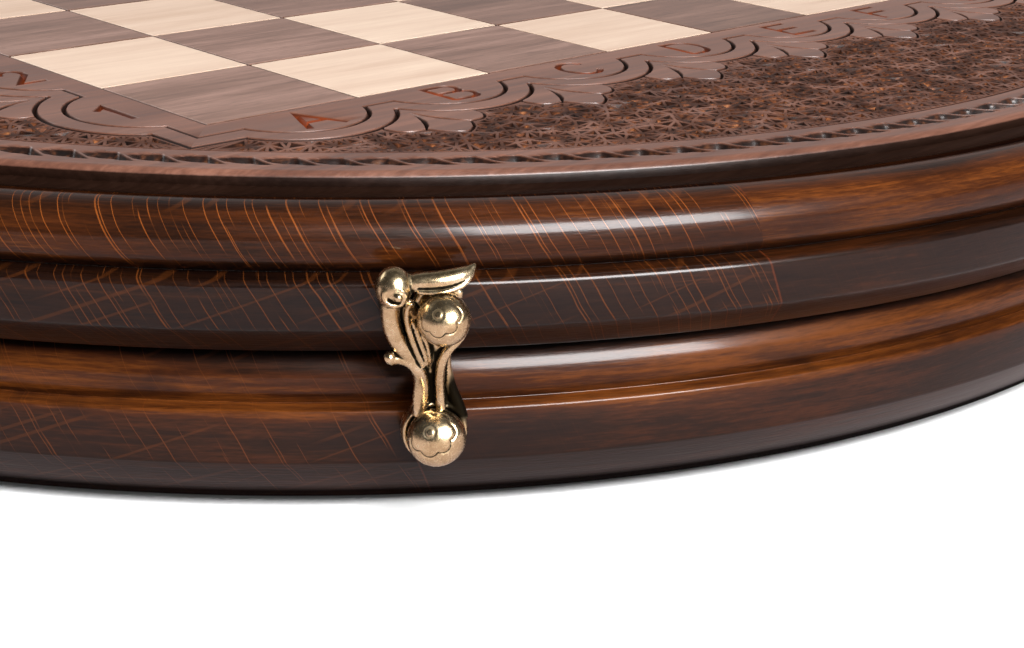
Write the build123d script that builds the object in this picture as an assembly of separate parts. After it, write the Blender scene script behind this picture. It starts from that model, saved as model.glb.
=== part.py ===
from build123d import *
import os
from math import asin, cos, pi, radians, sin, sqrt

# Round chess box. +Z is up, the origin is the centre of the foot plane, X runs from the
# a-file to the h-file and Y from the first rank to the eighth. All sizes are millimetres.

# Driving dimensions
SQUARE = 43.0                 # one square of the board
RANKS = 8
HEIGHT = 75.0                 # table to playing surface
FOOT_HEIGHT = 3.6
FASCIA_RADIUS = 300.0         # flat band of the upper moulding, the widest part
LOWER_STEP_IN = 9.0           # the lower moulding stands this far inside the upper one
SEAM_HEIGHT = 40.3            # middle of the gap between the two mouldings
SEAM_GAP = 0.6
RING_BORE_RADIUS = 268.0      # inside of the upper moulding
DRAWER_BORE_RADIUS = 265.0    # inside of the lower moulding
TOP_THICKNESS = 4.0           # squares and carved frame
SIDE_CUT = 235.7              # the drawer fronts end on planes this far from the middle
SIDE_GAP = 0.6
DRAWER_TRAVEL = 140.0
BASE_THICKNESS = 3.0
FLOOR_THICKNESS = 3.0
RUN_GAP = 0.4                 # air between the drawer and what it slides on
SPINE_THICKNESS = 12.0
SIDE_THICKNESS = 9.0
DIVIDER_THICKNESS = 5.0
BATTEN_WIDTH = 20.0
BRIDGE_WIDTH = 32.0           # the wide divider that rides over the batten
CROSS_DIVIDER_Y = 118.0
FELT = 1.0
LATCH_ANGLE = 34.5            # each side of a drawer's centre line
PIVOT_HEIGHT = 24.8
CATCH_HEIGHT = 53.4
BALL_RADIUS = 5.4
NECK_RADIUS = 2.2
CATCH_NECK = 3.6              # fascia to ball, along the neck
PIVOT_NECK = 4.6
CUP_BACK = 2.2                # the pivot cup of the latch, measured out from the fascia
CUP_RIM = 7.4
CUP_RADIUS = 7.0
PIVOT_PLAY = 0.06
SWING_GAP = 0.4               # air round the catch stud while the latch swings
STOP_RADIUS = 3.0             # half width of the pegs that stop the drawers
STOP_DROP = 3.6
STOP_X = 110.0

# Worked-out heights
BOARD_HALF = SQUARE * RANKS / 2
PANEL_TOP = HEIGHT - TOP_THICKNESS
RING_BOTTOM = SEAM_HEIGHT + SEAM_GAP / 2
DRAWER_TOP = SEAM_HEIGHT - SEAM_GAP / 2
BASE_TOP = FOOT_HEIGHT + BASE_THICKNESS
FLOOR_BOTTOM = BASE_TOP + RUN_GAP
FLOOR_TOP = FLOOR_BOTTOM + FLOOR_THICKNESS
LOWER_RADIUS = FASCIA_RADIUS - LOWER_STEP_IN
BASE_RADIUS = DRAWER_BORE_RADIUS - 2.0
BACK_Y = SPINE_THICKNESS / 2 + 1.0
DRAWER_HALF = SIDE_CUT - SIDE_GAP / 2
BATTEN_END = 250.0
SWING_RADIUS = CATCH_HEIGHT - PIVOT_HEIGHT
JAW_RADIUS = 6.2              # flat jaw of the latch behind the catch ball
JAW_THICKNESS = 1.7
JAW_OUT = LOWER_STEP_IN + 1.8

os.makedirs("parts", exist_ok=True)


def save(name, shape):
    """Write one sub-part under its node name."""
    shape.label = name
    export_step(shape, f"parts/{name}.step")


def box(x0, x1, y0, y1, z0, z1):
    """A block between two opposite corners."""
    return Pos((x0 + x1) / 2, (y0 + y1) / 2, (z0 + z1) / 2) * Box(x1 - x0, y1 - y0, z1 - z0)


def disc(radius, z0, z1):
    """A plain round slab about the Z axis."""
    return Pos(0, 0, (z0 + z1) / 2) * Cylinder(radius, z1 - z0)


def arc(start, via, end, steps):
    """Points after the start along the arc through three points, for a turned outline."""
    curve = ThreePointArc(start, via, end)
    return [tuple(curve @ (i / steps))[:2] for i in range(1, steps + 1)]


def turned(outline, start=0, sweep=360):
    """Turn a closed outline of (radius, height) points about the Z axis."""
    face = Plane.XZ * make_face(Polyline(*outline, close=True))
    return Rot(0, 0, start) * revolve(face, Axis.Z, sweep)


# ---------------------------------------------------------------- mouldings

def upper_moulding():
    """Cove, big half-round bead, quirk, flat fascia with eased edge, undercut bevel."""
    r = FASCIA_RADIUS
    cove_end = (r - 10.6, PANEL_TOP + 1.1)
    quirk = (r - 4.6, PANEL_TOP - 11.9)
    return turned([
        (RING_BORE_RADIUS, PANEL_TOP),
        (r - 15.4, PANEL_TOP),
        cove_end,
        *arc(cove_end, (r - 0.2, PANEL_TOP - 5.4), quirk, 3),
        (r - 1.6, PANEL_TOP - 12.4),
        (r, PANEL_TOP - 14.0),
        (r, PANEL_TOP - 22.7),
        (r - 8.5, RING_BOTTOM),
        (RING_BORE_RADIUS, RING_BOTTOM),
    ])


def lower_moulding(start=0, sweep=360):
    """Half-round bead under the seam, thin fillet, flat fascia and bevelled foot."""
    r = LOWER_RADIUS
    bead_top = (r - 10.0, DRAWER_TOP)
    bead_end = (r - 3.8, DRAWER_TOP - 12.6)
    return turned([
        (DRAWER_BORE_RADIUS, DRAWER_TOP),
        bead_top,
        *arc(bead_top, (r - 2.6, DRAWER_TOP - 6.8), bead_end, 3),
        (r - 0.9, DRAWER_TOP - 12.9),
        (r, DRAWER_TOP - 13.7),
        (r, DRAWER_TOP - 24.8),
        (r - 8.2, FOOT_HEIGHT),
        (DRAWER_BORE_RADIUS, FOOT_HEIGHT),
    ], start, sweep)


# ---------------------------------------------------------------- latches

def latch_plane(angle, radius, height):
    """Local frame on the rim: X to the right as seen from outside, Y up, Z outwards."""
    a = radians(angle)
    out = (cos(a), sin(a), 0)
    right = (-sin(a), cos(a), 0)
    return Plane(origin=(radius * out[0], radius * out[1], height), x_dir=right, z_dir=out)


def horn(stations, across, depth=1.0, sides=8):
    """A tapering cast stem through polygons on parallel planes, as a closed solid.

    A station is (right, up, out, half width), and depth is the half depth over the half
    width. The planes are level where the stem climbs and upright where it runs across.
    """
    rings = []
    for right, up, out, half in stations:
        ring = []
        for i in range(sides):
            a = 2 * pi * (i + 0.5) / sides
            wide, deep = half * cos(a), half * depth * sin(a)
            ring.append((right, up + wide, out + deep) if across else (right + wide, up, out + deep))
        rings.append(ring)
    faces = [Face(Wire.make_polygon(rings[0])), Face(Wire.make_polygon(rings[-1]))]
    for near, far in zip(rings, rings[1:]):
        for i in range(sides):
            j = (i + 1) % sides
            faces.append(Face(Wire.make_polygon([near[i], near[j], far[j], far[i]])))
    return Solid(Shell(faces))


def knob(radius, low, high, bands, sides=10):
    """Stations of a ball along Z, cut off below and above: (height, radius) pairs."""
    a0, a1 = asin(low / radius), asin(high / radius)
    angles = [a0 + (a1 - a0) * i / bands for i in range(bands + 1)]
    stations = [(0, radius * sin(a), 0, radius * cos(a)) for a in angles]
    return Rot(90, 0, 0) * horn(stations, across=False, sides=sides)


def ball_stud(neck, turns):
    """Ball-headed stud. A pivot's neck is round, and a catch stands on a small rosette."""
    drop = sqrt(BALL_RADIUS ** 2 - NECK_RADIUS ** 2)
    if turns:
        stem = Pos(0, 0, neck / 2) * Cylinder(NECK_RADIUS, neck)
    else:
        rosette = Pos(0, 0, 0.2) * extrude(RegularPolygon(3.4, 8), 1.2)
        stem = rosette + extrude(RegularPolygon(NECK_RADIUS, 8), neck)
    return stem + Pos(0, 0, neck + drop) * knob(BALL_RADIUS, -drop, BALL_RADIUS - 0.3, 4, 9)


def latch_arm():
    """Cast hook: cup round the pivot ball, stem, scroll bud, leaf and two thorns.

    The origin is the pivot axis on the face of the lower fascia.
    """
    ball_z = PIVOT_NECK + sqrt(BALL_RADIUS ** 2 - NECK_RADIUS ** 2)
    catch_z = LOWER_STEP_IN + CATCH_NECK + sqrt(BALL_RADIUS ** 2 - NECK_RADIUS ** 2)
    cup = Pos(0, 0, CUP_BACK) * extrude(RegularPolygon(CUP_RADIUS, 14), CUP_RIM - CUP_BACK)
    stem = horn([
        (0.0, 3.6, 5.2, 5.4),
        (-0.4, 9.5, 5.8, 4.1),
        (-1.3, 16.5, 8.6, 3.1),
        (-0.9, 23.2, 12.0, 3.3),
    ], across=False, depth=0.55)
    bundle = horn([
        (-2.0, 17.5, 9.6, 2.2),
        (-6.2, 25.0, 12.9, 2.6),
        (-9.0, 32.0, 14.2, 2.2),
    ], across=False, depth=0.85)
    bud = horn([
        (-9.4, 30.6, 14.6, 1.4),
        (-9.6, 32.4, 14.6, 3.2),
        (-9.7, 35.0, 14.6, 3.9),
        (-9.7, 37.6, 14.6, 3.1),
        (-9.6, 39.2, 14.6, 1.3),
    ], across=False, depth=0.95)
    leaf = horn([
        (-8.0, 36.0, 14.5, 1.4),
        (0.0, 37.1, 14.4, 1.9),
        (4.2, 38.4, 14.0, 1.5),
        (6.6, 40.0, 13.4, 0.4),
    ], across=True, depth=1.05)
    left_thorn = horn([
        (-10.4, 20.0, 12.0, 1.2),
        (-7.6, 19.4, 11.6, 0.9),
        (-4.6, 18.7, 10.8, 1.3),
        (-1.4, 16.4, 9.2, 2.0),
    ], across=True, depth=0.9, sides=6)
    right_thorn = horn([
        (-2.6, 21.6, 11.6, 1.9),
        (0.6, 22.2, 11.7, 1.9),
        (3.2, 23.4, 11.7, 1.2),
        (5.8, 24.9, 11.8, 0.35),
    ], across=True, depth=0.85, sides=6)
    jaw = Pos(0, SWING_RADIUS, JAW_OUT) * extrude(RegularPolygon(JAW_RADIUS, 12), JAW_THICKNESS)
    arm = cup + stem + bundle + bud + leaf + left_thorn + right_thorn + jaw
    # the throat follows the swing about the pivot: narrow for the neck, wide for the ball
    for reach, low in ((NECK_RADIUS + SWING_GAP, 0), (BALL_RADIUS + SWING_GAP, JAW_OUT + JAW_THICKNESS)):
        path = Pos(0, 0, low + 10) * (
            Cylinder(SWING_RADIUS + reach, 20) - Cylinder(SWING_RADIUS - reach, 20))
        arm -= path & Pos(SWING_RADIUS, SWING_RADIUS, low + 10) * Box(2 * SWING_RADIUS, 30, 20)
        arm -= Pos(0, SWING_RADIUS, low + 10) * Cylinder(reach, 20)
    arm -= Pos(0, 0, ball_z) * knob(BALL_RADIUS + 0.5, -BALL_RADIUS * 0.9, BALL_RADIUS, 3, 10)
    arm -= Pos(0, 0, CUP_BACK) * Cylinder(NECK_RADIUS + PIVOT_PLAY, 12)
    return arm


# ---------------------------------------------------------------- case

def carved_frame():
    """Round top with the square opening for the board and a rounded outer edge."""
    r = FASCIA_RADIUS - 16.0
    shoulder = (r, PANEL_TOP + 2.0)
    lip = (r - 2.2, HEIGHT)
    blank = turned([(0, PANEL_TOP), (r, PANEL_TOP), shoulder, lip, (0, HEIGHT)])
    return blank - box(-BOARD_HALF, BOARD_HALF, -BOARD_HALF, BOARD_HALF, PANEL_TOP - 1, HEIGHT + 1)


def board_squares(odd):
    """Every second square of the board as a tile; a1 is a dark one."""
    tile = Pos(0, 0, PANEL_TOP + TOP_THICKNESS / 2) * Box(SQUARE, SQUARE, TOP_THICKNESS)
    middle = (RANKS - 1) / 2
    tiles = []
    for file in range(RANKS):
        for rank in range(RANKS):
            if (file + rank) % 2 == odd:
                tiles.append(Pos((file - middle) * SQUARE, (rank - middle) * SQUARE, 0) * tile)
    return Compound(children=tiles)


def around(shape, count, radius, start):
    """Copies of a shape, evenly spaced about the Z axis."""
    copies = []
    for i in range(count):
        a = radians(start + i * 360 / count)
        copies.append(Pos(radius * cos(a), radius * sin(a), 0) * shape)
    return Compound(children=copies)


def build_case():
    """Everything that stands still."""
    save("base_panel", disc(BASE_RADIUS, FOOT_HEIGHT, BASE_TOP))
    save("feet", around(extrude(RegularPolygon(11.0, 12), FOOT_HEIGHT), 6, 236.0, 30))
    spine_half = SIDE_CUT + SIDE_GAP / 2
    save("spine", box(-spine_half, spine_half, -SPINE_THICKNESS / 2, SPINE_THICKNESS / 2,
                      BASE_TOP, RING_BOTTOM))
    guide_disc = disc(DRAWER_BORE_RADIUS, BASE_TOP, RING_BOTTOM)
    for name, side, start in (("left", -1, 130), ("right", 1, -50)):
        inner = side * spine_half
        save(f"cheek_{name}", lower_moulding(start, 100) - box(
            -spine_half, spine_half, -FASCIA_RADIUS, FASCIA_RADIUS, 0, HEIGHT))
        far = side * (spine_half + 12.0)
        wall = box(min(inner, far), max(inner, far), -FASCIA_RADIUS, FASCIA_RADIUS, 0, HEIGHT)
        save(f"guide_{name}", guide_disc & wall)
    save("guide_battens", Compound(children=[
        box(-BATTEN_WIDTH / 2, BATTEN_WIDTH / 2, *sorted((side * SPINE_THICKNESS / 2, side * BATTEN_END)),
            BASE_TOP, FLOOR_TOP)
        for side in (-1, 1)]))
    core = extrude(RegularPolygon(RING_BORE_RADIUS, 48), PANEL_TOP - RING_BOTTOM)
    save("core_panel", Pos(0, 0, RING_BOTTOM) * core)
    stop_y = BACK_Y + SIDE_THICKNESS + DRAWER_TRAVEL + STOP_RADIUS + 0.3
    save("stop_pegs", Compound(children=[
        Pos(x, y, RING_BOTTOM - STOP_DROP / 2) * Box(2 * STOP_RADIUS, 2 * STOP_RADIUS, STOP_DROP)
        for x in (-STOP_X, STOP_X) for y in (-stop_y, stop_y)]))
    save("upper_moulding", upper_moulding())
    save("catch_studs", Compound(children=[
        latch_plane(angle, FASCIA_RADIUS, CATCH_HEIGHT) * ball_stud(CATCH_NECK, turns=False)
        for angle in LATCH_ANGLES]))
    save("carved_frame", carved_frame())
    save("dark_squares", board_squares(0))
    save("light_squares", board_squares(1))


# ---------------------------------------------------------------- drawers

def build_drawer(name, turn, angles):
    """One half-moon drawer, drawn towards -Y and turned about Z for the rear one."""
    place = Rot(0, 0, turn)
    inside = disc(DRAWER_BORE_RADIUS, FOOT_HEIGHT, DRAWER_TOP)
    span = box(-DRAWER_HALF, DRAWER_HALF, -FASCIA_RADIUS, -BACK_Y, 0, HEIGHT)
    front = place * (lower_moulding() & span)
    save(f"{name}_front", front)
    save(f"{name}_pivot_studs", Compound(children=[
        latch_plane(angle, LOWER_RADIUS, PIVOT_HEIGHT) * ball_stud(PIVOT_NECK, turns=True)
        for angle in angles]))

    inner_x = DRAWER_HALF - SIDE_THICKNESS
    back_inner = BACK_Y + SIDE_THICKNESS
    slot = BATTEN_WIDTH / 2 + RUN_GAP
    bridge = BRIDGE_WIDTH / 2
    floor = inside & box(-DRAWER_HALF, DRAWER_HALF, -FASCIA_RADIUS, -BACK_Y, FLOOR_BOTTOM, FLOOR_TOP)
    floor -= box(-slot, slot, -BATTEN_END - 2, 0, FLOOR_BOTTOM - 1, FLOOR_TOP + 1)
    save(f"{name}_floor", place * floor)
    for side_name, side in (("left", -1), ("right", 1)):
        x0, x1 = sorted((side * inner_x, side * DRAWER_HALF))
        wall = inside & box(x0, x1, -FASCIA_RADIUS, -back_inner, FLOOR_TOP, DRAWER_TOP)
        save(f"{name}_side_{side_name}", place * wall)
    back = box(-DRAWER_HALF, DRAWER_HALF, -back_inner, -BACK_Y, FLOOR_TOP, DRAWER_TOP)
    back -= box(-slot, slot, -back_inner - 1, 0, FLOOR_TOP - 1, FLOOR_TOP + RUN_GAP)
    save(f"{name}_back", place * back)
    centre = inside & box(-bridge, bridge, -FASCIA_RADIUS, -back_inner, FLOOR_TOP, DRAWER_TOP)
    centre -= box(-slot, slot, -BATTEN_END - 2, 0, FLOOR_TOP - 1, FLOOR_TOP + RUN_GAP)
    save(f"{name}_centre_divider", place * centre)
    cross = []
    lining = []
    for side in (-1, 1):
        x0, x1 = sorted((side * bridge, side * inner_x))
        cross.append(place * box(x0, x1, -CROSS_DIVIDER_Y - DIVIDER_THICKNESS, -CROSS_DIVIDER_Y,
                                 FLOOR_TOP, DRAWER_TOP - 4.0))
        rear_felt = box(x0, x1, -CROSS_DIVIDER_Y, -back_inner, FLOOR_TOP, FLOOR_TOP + FELT)
        front_felt = inside & box(x0, x1, -FASCIA_RADIUS, -CROSS_DIVIDER_Y - DIVIDER_THICKNESS,
                                  FLOOR_TOP, FLOOR_TOP + FELT)
        lining += [place * rear_felt, place * front_felt]
    save(f"{name}_cross_dividers", Compound(children=cross))
    save(f"{name}_felt", Compound(children=lining))


FRONT_ANGLES = (270 - LATCH_ANGLE, 270 + LATCH_ANGLE)
REAR_ANGLES = (90 - LATCH_ANGLE, 90 + LATCH_ANGLE)
LATCH_ANGLES = FRONT_ANGLES + REAR_ANGLES
LATCH_NAMES = ("front_left", "front_right", "rear_right", "rear_left")

build_case()
build_drawer("front_drawer", 0, FRONT_ANGLES)
build_drawer("rear_drawer", 180, REAR_ANGLES)
ARM = latch_arm()
for latch_name, latch_angle in zip(LATCH_NAMES, LATCH_ANGLES):
    save(f"latch_{latch_name}", latch_plane(latch_angle, LOWER_RADIUS, PIVOT_HEIGHT) * ARM)
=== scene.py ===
"""Round chess box: stacked turned mouldings, carved top, inlaid board, drawers, cast latches."""

import logging
import math
from dataclasses import dataclass, field
from enum import Enum
from typing import Callable, Iterable, Sequence

import bmesh
import bpy
import numpy as np
from mathutils import Matrix, Vector
from mathutils.geometry import delaunay_2d_cdt


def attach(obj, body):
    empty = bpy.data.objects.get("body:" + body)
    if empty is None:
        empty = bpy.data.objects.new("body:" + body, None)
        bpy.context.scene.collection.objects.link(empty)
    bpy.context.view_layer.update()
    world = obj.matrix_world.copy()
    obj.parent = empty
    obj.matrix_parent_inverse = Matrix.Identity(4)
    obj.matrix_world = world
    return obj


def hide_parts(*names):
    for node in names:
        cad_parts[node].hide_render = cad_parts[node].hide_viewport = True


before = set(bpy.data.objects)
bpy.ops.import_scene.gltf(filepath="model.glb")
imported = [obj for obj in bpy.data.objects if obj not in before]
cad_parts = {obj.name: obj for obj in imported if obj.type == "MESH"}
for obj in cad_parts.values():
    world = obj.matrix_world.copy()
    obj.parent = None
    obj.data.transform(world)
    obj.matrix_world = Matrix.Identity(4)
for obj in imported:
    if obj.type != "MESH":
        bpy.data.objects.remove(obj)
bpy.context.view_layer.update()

LOG = logging.getLogger("chess_box")
MM = 0.001
SQUARE = 43.0           # one square of the board, mm; the carving is laid out in squares
TOP = 75.0              # playing surface, mm above the table
PANEL_TOP = 71.0        # seat of the carved frame and the squares
UPPER_RADIUS = 300.0    # fascia of the upper moulding
LOWER_RADIUS = 291.0    # fascia of the lower moulding
SIDE_CUT = 235.7        # the drawer fronts end on planes this far from the middle
PIVOT_HEIGHT = 24.8     # of the lower balls
CATCH_HEIGHT = 53.4     # of the upper balls
LATCHES = {             # body of each latch, and its place on the rim in degrees
    "latch_front_left": 235.5,
    "latch_front_right": 304.5,
    "latch_rear_right": 55.5,
    "latch_rear_left": 124.5,
}

Point = tuple[float, float]
Outline = list[Point]
Ramp = tuple[tuple[float, str], ...]


# ------------------------------------------------------------------ mesh helpers

def link(obj: bpy.types.Object) -> bpy.types.Object:
    """Put an object in the scene and return it."""
    bpy.context.scene.collection.objects.link(obj)
    return obj


def store(mesh: bpy.types.Mesh, name: str, values: Sequence[float]) -> None:
    """Store a number on each point of a mesh."""
    tag = mesh.attributes.new(name, "FLOAT", "POINT")
    tag.data.foreach_set("value", np.asarray(values, np.float32))


def clean(mesh: bpy.types.Mesh, weld: float, smooth: float | None) -> None:
    """Merge near points, turn the faces outwards and smooth all but the sharp edges.

    Args:
        mesh: the mesh.
        weld: distance in millimetres under which points are merged, or 0.
        smooth: angle in degrees above which edges stay sharp, or None for flat faces.
    """
    work = bmesh.new()
    work.from_mesh(mesh)
    if weld:
        bmesh.ops.remove_doubles(work, verts=work.verts, dist=weld * MM)
    bmesh.ops.recalc_face_normals(work, faces=work.faces)
    work.to_mesh(mesh)
    work.free()
    if smooth is not None:
        mesh.shade_smooth()
        mesh.set_sharp_from_angle(angle=math.radians(smooth))


def swept(rows: int, count: int, closed: bool = True) -> list[tuple[int, ...]]:
    """Faces between rows that are copies of one closed outline.

    Args:
        rows: number of copies.
        count: points of the outline.
        closed: whether the last copy is joined to the first.
    """
    return [(i * count + j, (i + 1) % rows * count + j,
             (i + 1) % rows * count + (j + 1) % count, i * count + (j + 1) % count)
            for i in range(rows if closed else rows - 1) for j in range(count)]


def wall(rows: int, sides: int, first: int = 0) -> list[tuple[int, ...]]:
    """Faces between rows that each go round once, one above the other.

    Args:
        rows: number of rows.
        sides: points in a row.
        first: number of the first point of the first row.
    """
    return [(a + j, a + (j + 1) % sides, a + sides + (j + 1) % sides, a + sides + j)
            for a in range(first, first + (rows - 1) * sides, sides) for j in range(sides)]


def mesh_object(name: str, points: np.ndarray, faces: Iterable[Sequence[int]],
                material: bpy.types.Material | None, weld: float = 0.0,
                smooth: float | None = None, **stored: np.ndarray) -> bpy.types.Object:
    """Make an object from points in millimetres.

    Args:
        name: name of the object.
        points: points in the row frame, in millimetres.
        faces: point numbers of each face.
        material: finish of the whole piece.
        weld: distance in millimetres under which points are merged, or 0.
        smooth: angle in degrees above which edges stay sharp, or None for flat faces.
        stored: a number for each point, by the name that a finish reads it by.

    Returns:
        The new object, with its faces turned outwards.
    """
    mesh = bpy.data.meshes.new(name)
    mesh.from_pydata((np.asarray(points, float) * MM).tolist(), [], [tuple(f) for f in faces])
    for key, values in stored.items():
        store(mesh, key, values)
    clean(mesh, weld, smooth)
    if material is not None:
        mesh.materials.append(material)
    return link(bpy.data.objects.new(name, mesh))


def baked(obj: bpy.types.Object, name: str) -> bpy.types.Object:
    """Replace an object and its modifiers by a plain mesh object of what they make."""
    graph = bpy.context.evaluated_depsgraph_get()
    mesh = bpy.data.meshes.new_from_object(obj.evaluated_get(graph), depsgraph=graph)
    mesh.name = name
    bpy.data.objects.remove(obj)
    return link(bpy.data.objects.new(name, mesh))


def settle(obj: bpy.types.Object, body: str, slot: str, *nodes: str) -> None:
    """Let a piece ride on its body and stand for CAD nodes."""
    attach(obj, body)
    if nodes:
        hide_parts(*nodes)
    LOG.info("%s on %s, %d faces", obj.name, body, len(obj.data.polygons))


def arc(start: Point, via: Point, end: Point, steps: int) -> Outline:
    """Points after the start along the arc through three points.

    Args:
        start, via, end: the three points.
        steps: number of chords.

    Returns:
        The points, the end among them.
    """
    (ax, ay), (bx, by), (cx, cy) = start, via, end
    d = 2 * (ax * (by - cy) + bx * (cy - ay) + cx * (ay - by))
    a2, b2, c2 = ax * ax + ay * ay, bx * bx + by * by, cx * cx + cy * cy
    ux = (a2 * (by - cy) + b2 * (cy - ay) + c2 * (ay - by)) / d
    uy = (a2 * (cx - bx) + b2 * (ax - cx) + c2 * (bx - ax)) / d
    radius = math.hypot(ax - ux, ay - uy)
    first, middle, last = (math.atan2(y - uy, x - ux) for x, y in (start, via, end))
    turn = (last - first) % (2 * math.pi)
    if (middle - first) % (2 * math.pi) > turn:
        turn -= 2 * math.pi
    return [(ux + radius * math.cos(first + turn * i / steps),
             uy + radius * math.sin(first + turn * i / steps)) for i in range(1, steps + 1)]


def eased(outline: Outline, ease: float, limit: float = 25.0) -> Outline:
    """Round the corners of a closed outline a little, as a turner's abrasive does.

    Args:
        outline: points of the closed outline.
        ease: length cut off along each side of a corner.
        limit: corners that turn by less than this many degrees stay as they are.

    Returns:
        The outline with small arcs at its corners.
    """
    out: Outline = []
    for i, here in enumerate(outline):
        before, after = Vector(outline[i - 1]), Vector(outline[(i + 1) % len(outline)])
        p = Vector(here)
        u, v = before - p, after - p
        turn = 180 - math.degrees(u.angle(v)) if u.length and v.length else 0
        if turn < limit:
            out.append(here)
            continue
        cut = min(ease, u.length * 0.45, v.length * 0.45)
        a, b = p + u.normalized() * cut, p + v.normalized() * cut
        for k in range(4):
            t = k / 3
            q = a * (1 - t) ** 2 + p * 2 * t * (1 - t) + b * t ** 2
            out.append((q.x, q.y))
    return out


def rim_frame(angle: float, radius: float, height: float) -> Matrix:
    """Frame on the rim, in millimetres: X right as seen from outside, Y up, Z outwards."""
    a = math.radians(angle)
    out, right = (math.cos(a), math.sin(a)), (-math.sin(a), math.cos(a))
    return Matrix(((right[0], 0, out[0], radius * out[0]),
                   (right[1], 0, out[1], radius * out[1]),
                   (0, 1, 0, height),
                   (0, 0, 0, 1)))


def placed(points: np.ndarray, matrix: Matrix) -> np.ndarray:
    """Points moved by a matrix."""
    m = np.array(matrix)
    return points @ m[:3, :3].T + m[:3, 3]


# ------------------------------------------------------------------ finishes

def colour(hex_code: str) -> tuple[float, float, float, float]:
    """Linear colour of an sRGB code such as "6b4a2f"."""
    parts = [int(hex_code[i:i + 2], 16) / 255 for i in (0, 2, 4)]
    return (*[c / 12.92 if c <= 0.04045 else ((c + 0.055) / 1.055) ** 2.4 for c in parts], 1.0)


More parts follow.
